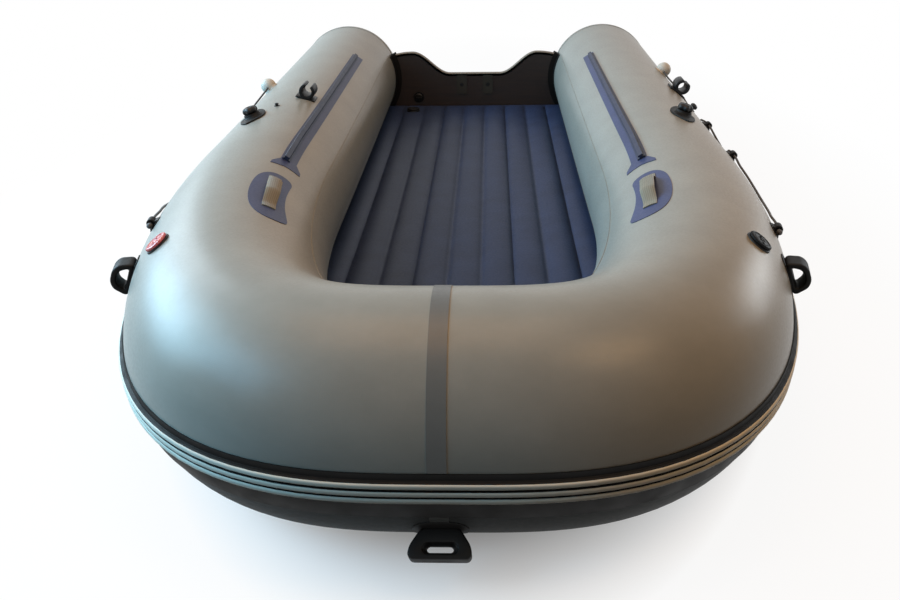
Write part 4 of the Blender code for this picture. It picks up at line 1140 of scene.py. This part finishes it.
def soft_outline(corners):
    """Each side loses a quarter at both ends, twice, which makes a traced outline smooth."""
    for _ in range(2):
        cut = []
        for here, after in zip(corners, corners[1:] + corners[:1]):
            cut.append((here[0] * 0.75 + after[0] * 0.25, here[1] * 0.75 + after[1] * 0.25))
            cut.append((here[0] * 0.25 + after[0] * 0.75, here[1] * 0.25 + after[1] * 0.75))
        corners = cut
    return corners


def glued_patch(outline, place, side):
    """A fabric cut-out of any outline, laid on the port tube or mirrored to starboard."""
    shape = rounded_block(outline, "z", -0.0008, patch_thickness, 0)
    bmesh.ops.translate(shape, vec=(*place, 0), verts=shape.verts)
    if side < 0:
        bmesh.ops.scale(shape, vec=(-1, 1, 1), verts=shape.verts)
        bmesh.ops.reverse_faces(shape, faces=shape.faces)
    cut_in_rows(shape, patch_steps)
    return lay_on_tube(shape)


def woven_webbing():
    """Dull polyester webbing: ribs 2.2 mm apart, crossed by rows 4 mm apart."""
    material, tree, shader = new_finish("grey_webbing", "#857e70", 0.75)
    place = add_node(tree, "TexCoord").outputs["UV"]
    ribs = add_node(tree, "TexWave", {"Vector": place, "Scale": waves_per_unit(webbing_rib_mm)},
                    bands_direction="X")
    rows = add_node(tree, "TexWave", {"Vector": place, "Scale": waves_per_unit(webbing_row_mm)},
                    bands_direction="Y")
    weave = add_node(tree, "Math", {0: ribs.outputs["Fac"], 1: rows.outputs["Fac"]}, operation="MULTIPLY")
    mix = add_node(tree, "Mix", {"Factor": weave.outputs[0], "A": linear("#655f50"),
                                 "B": linear("#857d6b")}, data_type="RGBA")
    bump = add_node(tree, "Bump", {"Height": weave.outputs[0], "Strength": 0.5, "Distance": 0.0005})
    tree.links.new(mix.outputs["Result"], shader.inputs["Base Color"])
    tree.links.new(bump.outputs[0], shader.inputs["Normal"])
    shader.inputs["Sheen Weight"].default_value = 0.2
    return material


webbing = woven_webbing()


def eased(share):
    """From 0 to 1 with a soft start and end."""
    return share * share * (3 - 2 * share)


def strap_height(share):
    """Height of the strap's underside: flat tabs at the ends and an arch between them."""
    tab = strap_tab / strap_length
    inside = min(1.0, max(0.0, (min(share, 1 - share) - tab) / (strap_ramp_end - tab)))
    return patch_thickness + 0.0004 + strap_rise * eased(inside)


def grab_strap(side):
    """The webbing, with its edges curled down a little where it stands up."""
    half = strap_width / 2
    shape = flat_panel(-strap_length / 2, strap_length / 2, -half, half, strap_square, strap_strip)
    bmesh.ops.solidify(shape, geom=shape.faces[:], thickness=strap_thickness)
    low = min(v.co.z for v in shape.verts)
    for point in shape.verts:
        point.co.z += strap_height(point.co.x / strap_length + 0.5) - low
        point.co.z -= strap_curl * abs(point.co.y / half) ** 3 * min(1.0, (point.co.z - low) / strap_rise)
    bmesh.ops.translate(shape, vec=(side * grab_s, arc_at(grab_angle), 0), verts=shape.verts)
    bmesh.ops.recalc_face_normals(shape, faces=shape.faces)
    return lay_on_tube(shape)


for name, side in sides.items():
    patch = glued_patch(soft_outline(patch_outline), (grab_s, arc_at(grab_angle)), side)
    add_piece(name + "_grab_base", patch, patch_fabric,
              stands_for=[name + "_grab_patch"])
    add_piece(name + "_grab_loop", grab_strap(side), webbing,
              stands_for=[name + "_grab_strap"])


# Seat rail patches
# Long strips of the same blue fabric, glued on the tubes to carry the rails of the seat.
# The front end of each is wider, with a shallow notch.

rail_angle = 121.5
rail_start = 1.115
rail_end = 2.50
rail_patch_half = 0.022
fork_half = 0.040
fork_length = 0.055
fork_notch = 0.008


def fork_outline():
    """A straight strip that widens at its front end, which has a shallow notch."""
    half, wide = rail_patch_half, fork_half
    tail = rail_start + fork_length
    return [(rail_start, wide), (rail_start + fork_notch, 0.0), (rail_start, -wide),
            (rail_start + 0.018, -wide * 0.98), (tail, -half), (rail_end, -half), (rail_end, half),
            (tail, half), (rail_start + 0.018, wide * 0.98)]


for name, side in sides.items():
    patch = glued_patch(fork_outline(), (0, arc_at(rail_angle)), side)
    add_piece(name + "_rail_base", patch, patch_fabric,
              stands_for=[name + "_rail_patch"])


# Seat rails
# Rigid nylon tracks, glued along the patches. They are moulded in a blue that is nearly
# black, so that they stay a little darker than the fabric and hardly shine.

rail_plastic = moulded_plastic("blue_black_nylon", "#242a3e", 0.5, 0.25)
for name in sides:
    frame["nodes"][name + "_seat_rail"].data.materials[0] = rail_plastic


# Lifelines
# A braided polyester rope runs through moulded rubber eyes and ends in stopper knots. The
# aftmost holder on each side is a pale nylon boss.

rope_radius = 0.003
eyelet_hole = 0.0038
eyelet_hole_height = 0.0095
eyelet_radius = 0.0095
eyelet_half_length = 0.011
boss_half_length = 0.019
knot_radius = 0.0065
knot_distance = 0.020
knot_length = 0.016
rope_rest_height = 0.0052
rope_straight = 0.03
rope_hold = 0.02
rope_settle = 0.07
rope_end_radius = 0.0015
rope_steps = 320
rope_sides = 12
braid_strand_mm = 4.2
# Half length, half width and squareness
eyelet_pad = (0.022, 0.019, 2.2)
eyelet_pad_thickness = 0.0018
eyelet_pad_rim = 0.0008
# Distances along the tube to the eyes and bosses, their angles round it, and how far the
# rope sags between them, in degrees round the tube
eyelet_places = (0.885, 1.37, 1.67)
line_angles = {"port": (33.0, 37.0, 37.0, 50.0), "starboard": (39.0, 19.0, 19.0, 50.0)}
line_bosses = {"port": 2.27, "starboard": 2.06}
line_droop = {"port": (8.0, 14.0, 22.0), "starboard": (4.0, 7.0, 22.0)}
# Undyed nylon: a warm off-white with a satin shine.
pale_plastic = moulded_plastic("pale_nylon", "#c3beb4", 0.4)


def rope_eye():
    """A moulded eye on a short foot, with a round hole along it."""
    outer = arc_points(eyelet_radius, -20, 200, 28, (0, eyelet_hole_height))
    outer += [(-0.0125, 0.0042), (-0.0158, 0.002), (-0.0158, -0.001), (0.0158, -0.001), (0.0158, 0.002),
              (0.0125, 0.0042)]
    hole = arc_points(eyelet_hole, 0, 360, 20, (0, eyelet_hole_height))[:-1]
    return moulded_loop(outer, hole, "x", half=eyelet_half_length, rim=0.002)


def rope_boss_shape():
    """A pale oval dome. The rope comes out of it at both ends."""
    shape = spun([(0.0, 0.0378), (0.0064, 0.0372), (0.0128, 0.0347), (0.0188, 0.0301), (0.0235, 0.0237),
                  (0.0259, 0.0160), (0.0259, 0.0080), (0.0243, 0.0036), (0.0256, 0.0020), (0.0266, -0.0012),
                  (0.0, -0.0012)], 56)
    bmesh.ops.scale(shape, vec=(0.9, 1, 1), verts=shape.verts)
    return shape


def braided_rope():
    """Black polyester braid: strands cross 6 mm apart, with a painted sheen on their crowns and painted
    shade between them.
    """
    material, tree, shader = new_finish("black_braided_rope", "#1b1b1c", 0.6)
    place = add_node(tree, "TexCoord").outputs["UV"]
    height = None
    for lean in (1, -1):
        turned = add_node(tree, "Mapping", {"Vector": place, "Rotation": (0, 0, lean * math.radians(45))})
        strand = add_node(tree, "TexWave", {
            "Vector": turned.outputs[0], "Scale": waves_per_unit(braid_strand_mm)},
            bands_direction="X").outputs["Fac"]
        height = strand if height is None else add_node(tree, "Math", {0: height, 1: strand},
                                                        operation="MAXIMUM").outputs[0]
    bump = add_node(tree, "Bump", {"Height": height, "Strength": 0.8, "Distance": 0.0008})
    # Painted light: paler on the strands' crowns as a sheen, darker between them as shade.
    mix = add_node(tree, "Mix", {"Factor": height, "A": linear("#101011"), "B": linear("#29292b")},
                   data_type="RGBA")
    tree.links.new(bump.outputs[0], shader.inputs["Normal"])
    tree.links.new(mix.outputs["Result"], shader.inputs["Base Color"])
    shader.inputs["Sheen Weight"].default_value = 0.15
    return material


rope_braid = braided_rope()


def line_stops(name):
    """Distance along the tube and round it, of the three eyes and the boss."""
    places = (*eyelet_places, line_bosses[name])
    return [(s, arc_at(a)) for s, a in zip(places, line_angles[name])]


def line_route(name, side):
    """Middle line of the rope, and its radius, which swells at the two knots."""
    stops = line_stops(name)
    start = stops[0][0] - eyelet_half_length - knot_distance
    end = stops[-1][0] + boss_half_length + knot_distance
    points, radii = [], []
    for i in range(rope_steps + 1):
        s = start + (end - start) * i / rope_steps
        arc = stops[0][1] if s < stops[0][0] else stops[-1][1]
        for first, second, droop in zip(stops, stops[1:], line_droop[name]):
            if first[0] <= s <= second[0]:
                share = (s - first[0] - rope_straight) / (second[0] - first[0] - 2 * rope_straight)
                share = min(1.0, max(0.0, share))
                arc = first[1] + (second[1] - first[1]) * eased(share)
                arc -= arc_at(droop) * math.sin(math.pi * share) ** 2
        lift = rope_rest_height
        for place, _ in stops:
            near = max(0.0, 1 - max(0.0, abs(s - place) - rope_hold) / rope_settle)
            lift = max(lift, rope_rest_height + (eyelet_hole_height - rope_rest_height) * eased(near))
        points.append(on_tube(side * s, arc, lift))
        reach = min(s - start, end - s) / knot_length
        swell = math.sqrt(max(0.0, 1 - (2 * reach - 1) ** 2)) if reach < 1 else 0.0
        radii.append(max(rope_radius if reach > 0.5 else rope_end_radius, knot_radius * swell))
    return points, radii


def rope_tube(points, radii):
    """A sheet rolled round the route, with the braid's UV map in metres."""
    shape = bmesh.new()
    count = len(points) - 1
    bmesh.ops.create_grid(shape, x_segments=count, y_segments=rope_sides, size=0.5)
    run = [0.0]
    for before, after in zip(points, points[1:]):
        run.append(run[-1] + (after - before).length)
    spots = {v: (round((v.co.x + 0.5) * count), v.co.y + 0.5) for v in shape.verts}
    for point, (i, turn) in spots.items():
        point.co = (run[i], turn * 2 * math.pi * rope_radius, 0)
    keep_flat_uv(shape)
    for point, (i, turn) in spots.items():
        ahead = (points[min(i + 1, count)] - points[max(i - 1, 0)]).normalized()
        level = ahead.cross(Vector((0, 0, 1))).normalized()
        up = level.cross(ahead)
        angle = 2 * math.pi * turn
        point.co = points[i] + (level * math.cos(angle) + up * math.sin(angle)) * radii[i]
    bmesh.ops.remove_doubles(shape, verts=shape.verts, dist=0.00001)
    bmesh.ops.holes_fill(shape, edges=[e for e in shape.edges if e.is_boundary], sides=0)
    bmesh.ops.recalc_face_normals(shape, faces=shape.faces)
    return shape


for name, side in sides.items():
    stops = line_stops(name)
    for i, (s, arc) in enumerate(stops[:-1]):
        place = (side * s, arc)
        pad = moulded_pad(oval(*eyelet_pad), eyelet_pad_thickness, eyelet_pad_rim, place)
        eye = on_tube_at(rope_eye(), place)
        add_piece(name + "_rope_eye_" + str(i + 1), join_shapes(pad, eye), black_rubber,
                  stands_for=[name + "_eyelet_" + str(i + 1)], sharp=55)
    boss = placed(rope_boss_shape(), seat(side * line_bosses[name], line_angles[name][-1]))
    add_piece(name + "_rope_boss", boss, pale_plastic,
              stands_for=[name + "_line_boss"], sharp=60)
    add_piece(name + "_rope", rope_tube(*line_route(name, side)), rope_braid,
              stands_for=[name + "_lifeline"], sharp=80)


# Tether studs
# Small black nylon knobs to tie things to: a low one on the starboard tube beside the
# rowlock, and a taller one on the port tube behind it.

# Distance along the tube and angle round it
stud_place = (-1.635, 86.0)
knob_place = (1.80, 45.0)

stud = spun([(0.0, 0.009), (0.003, 0.0088), (0.0052, 0.0078), (0.006, 0.006), (0.0055, 0.0042),
             (0.0035, 0.0032), (0.0035, 0.002), (0.008, 0.0014), (0.0086, 0.0004), (0.0086, -0.001),
             (0.0, -0.001)], 40)
add_piece("tether_stud", placed(stud, seat(*stud_place)), black_plastic)
knob = spun([(0.0, 0.0190), (0.0050, 0.0186), (0.0092, 0.0168), (0.0118, 0.0136), (0.0122, 0.0100),
             (0.0106, 0.0066), (0.0074, 0.0046), (0.0074, 0.0030), (0.0136, 0.0020), (0.0146, 0.0006),
             (0.0146, -0.001), (0.0, -0.001)], 40)
add_piece("port_tether_knob", placed(knob, seat(*knob_place)), black_plastic)


# Studio
# A floor that is shaded under the boat and turns plain white beside it. Large soft lamps
# shine cool from starboard and warm from above and port, where a faint white one adds an
# edge. The camera stands ahead of the bow.

shade_half_width = 0.775
shade_half_length = 1.6
# As shares of those halves: the shade is whole, nearly gone and all gone
shade_whole = 0.84
shade_edge = 1.08
shade_end = 2.2
white_at_edge = 0.91
white_beyond = 0.09
floor_grey = "#3a3a3a"


def seen_straight(tree):
    """1 for rays from the camera, off a shiny face or through a clear one, and else 0."""
    path = add_node(tree, "LightPath")
    sight = add_node(tree, "Math", {0: path.outputs["Is Camera Ray"], 1: path.outputs["Is Glossy Ray"]},
                     operation="ADD", use_clamp=True)
    return add_node(tree, "Math", {0: sight.outputs[0], 1: path.outputs["Is Transmission Ray"]},
                    operation="ADD", use_clamp=True).outputs[0]


floor_mesh = bpy.data.meshes.new("studio_floor")
floor_shape = bmesh.new()
bmesh.ops.create_grid(floor_shape, x_segments=1, y_segments=1, size=30)
floor_shape.to_mesh(floor_mesh)
floor_shape.free()
studio_floor = bpy.data.objects.new("studio_floor", floor_mesh)
bpy.context.scene.collection.objects.link(studio_floor)
floor_paint, floor_tree, floor_shader = new_finish("studio_floor_paint", floor_grey, 0.8)
floor_shader.inputs["Specular IOR Level"].default_value = 0.0
floor_seen = seen_straight(floor_tree)
# Other rays meet a grey floor, so that it throws little light up at the boat.
floor_colour = add_node(floor_tree, "Mix", {"Factor": floor_seen, "A": linear(floor_grey),
                                            "B": (0.9, 0.9, 0.9, 1)}, data_type="RGBA")
floor_tree.links.new(floor_colour.outputs["Result"], floor_shader.inputs["Base Color"])
floor_glow = add_node(floor_tree, "Emission", {"Color": (1, 1, 1, 1), "Strength": 1.0})
floor_place = add_node(floor_tree, "TexCoord").outputs["Object"]
floor_scaled = add_node(floor_tree, "Mapping", {
    "Vector": floor_place, "Scale": (1 / shade_half_width, 1 / shade_half_length, 1.0)})
floor_away = add_node(floor_tree, "VectorMath", {0: floor_scaled.outputs[0]},
                      operation="LENGTH").outputs["Value"]
floor_near = add_node(floor_tree, "MapRange", {
    "Value": floor_away, "From Min": shade_whole, "From Max": shade_edge, "To Max": white_at_edge})
floor_far = add_node(floor_tree, "MapRange", {
    "Value": floor_away, "From Min": shade_edge, "From Max": shade_end, "To Max": white_beyond})
floor_white = add_node(floor_tree, "Math", {0: floor_near.outputs[0], 1: floor_far.outputs[0]},
                       operation="ADD")
floor_share = add_node(floor_tree, "Math", {0: floor_seen, 1: floor_white.outputs[0]}, operation="MULTIPLY")
floor_mix = add_node(floor_tree, "MixShader", {"Fac": floor_share.outputs[0]})
floor_tree.links.new(floor_shader.outputs[0], floor_mix.inputs[1])
floor_tree.links.new(floor_glow.outputs[0], floor_mix.inputs[2])
floor_tree.links.new(floor_mix.outputs[0], floor_tree.nodes["Material Output"].inputs["Surface"])
floor_mesh.materials.append(floor_paint)

world = bpy.data.worlds.new("studio_world")
bpy.context.scene.world = world
world.use_nodes = True
world_tree = world.node_tree
background = world_tree.nodes["Background"]
background.inputs["Color"].default_value = linear("#ffe9cc")
background.inputs["Strength"].default_value = 0.07
white = add_node(world_tree, "Background", {"Color": (1, 1, 1, 1), "Strength": 1.0})
sky = add_node(world_tree, "MixShader", {"Fac": seen_straight(world_tree)})
world_tree.links.new(background.outputs[0], sky.inputs[1])
world_tree.links.new(white.outputs[0], sky.inputs[2])
world_tree.links.new(sky.outputs[0], world_tree.nodes["World Output"].inputs["Surface"])


def add_lamp(name, place, aim, size, power, colour):
    """A soft box of that size in metres and power in watts, turned to its aim."""
    lamp = bpy.data.lights.new(name, "AREA")
    lamp.shape = "RECTANGLE"
    lamp.size, lamp.size_y = size
    lamp.energy = power
    lamp.color = linear(colour)[:3]
    holder = bpy.data.objects.new(name, lamp)
    holder.location = place
    holder.rotation_euler = (Vector(aim) - Vector(place)).to_track_quat("-Z", "Y").to_euler()
    bpy.context.scene.collection.objects.link(holder)


add_lamp("cool_window", (-3.8, 1.8, 2.0), (-0.4, -0.8, 0.35), (3.4, 2.2), 121, "#e1f4ff")
add_lamp("cool_middle", (-4.0, 0.6, 1.4), (-0.4, -0.8, 0.3), (3.0, 1.6), 106, "#a6e1ff")
add_lamp("cool_front", (-3.8, -0.4, 2.2), (-0.4, -1.0, 0.3), (2.4, 2.0), 120, "#ace3ff")
add_lamp("cool_fill", (-3.2, -2.2, 2.5), (-0.2, -1.2, 0.3), (2.2, 1.6), 92, "#8ed6ff")
add_lamp("cool_side", (3.5, 1.4, 1.0), (0.6, -0.8, 0.3), (1.4, 1.0), 26, "#f2faff")
add_lamp("warm_ceiling", (-0.5, -0.5, 3.8), (0.0, -0.5, 0.0), (2.4, 2.4), 62, "#ffbf7a")
add_lamp("warm_port", (1.6, -1.8, 3.2), (0.3, -1.3, 0.3), (1.2, 1.2), 31, "#ffcb8e")

# Fitted to the outlines of the tubes, floor and transom in the picture
picture_width = 900
picture_shift = (-15.88, -4.59)
yaw, pitch, roll = -0.032, 0.466, -0.015
eye_beside = 0.070
eye_ahead = 1.246
eye_above = 0.864

camera = bpy.data.cameras.new("camera")
camera.sensor_width = 36
camera.lens = 34.8
camera.shift_x = picture_shift[0] / picture_width
camera.shift_y = picture_shift[1] / picture_width
viewer = bpy.data.objects.new("camera", camera)
forward = Vector((math.sin(yaw) * math.cos(pitch), math.cos(yaw) * math.cos(pitch), -math.sin(pitch)))
level = Vector((math.cos(yaw), -math.sin(yaw), 0))
upright = level.cross(forward)
right = level * math.cos(roll) + upright * math.sin(roll)
up = upright * math.cos(roll) - level * math.sin(roll)
turn = Matrix((right, up, -forward)).transposed().to_4x4()
viewer.matrix_world = Matrix.Translation((eye_beside, bow_y - eye_ahead, rest_height + eye_above)) @ turn
bpy.context.scene.collection.objects.link(viewer)
bpy.context.scene.camera = viewer
bpy.context.scene.view_settings.view_transform = "Standard"

bpy.context.view_layer.update()
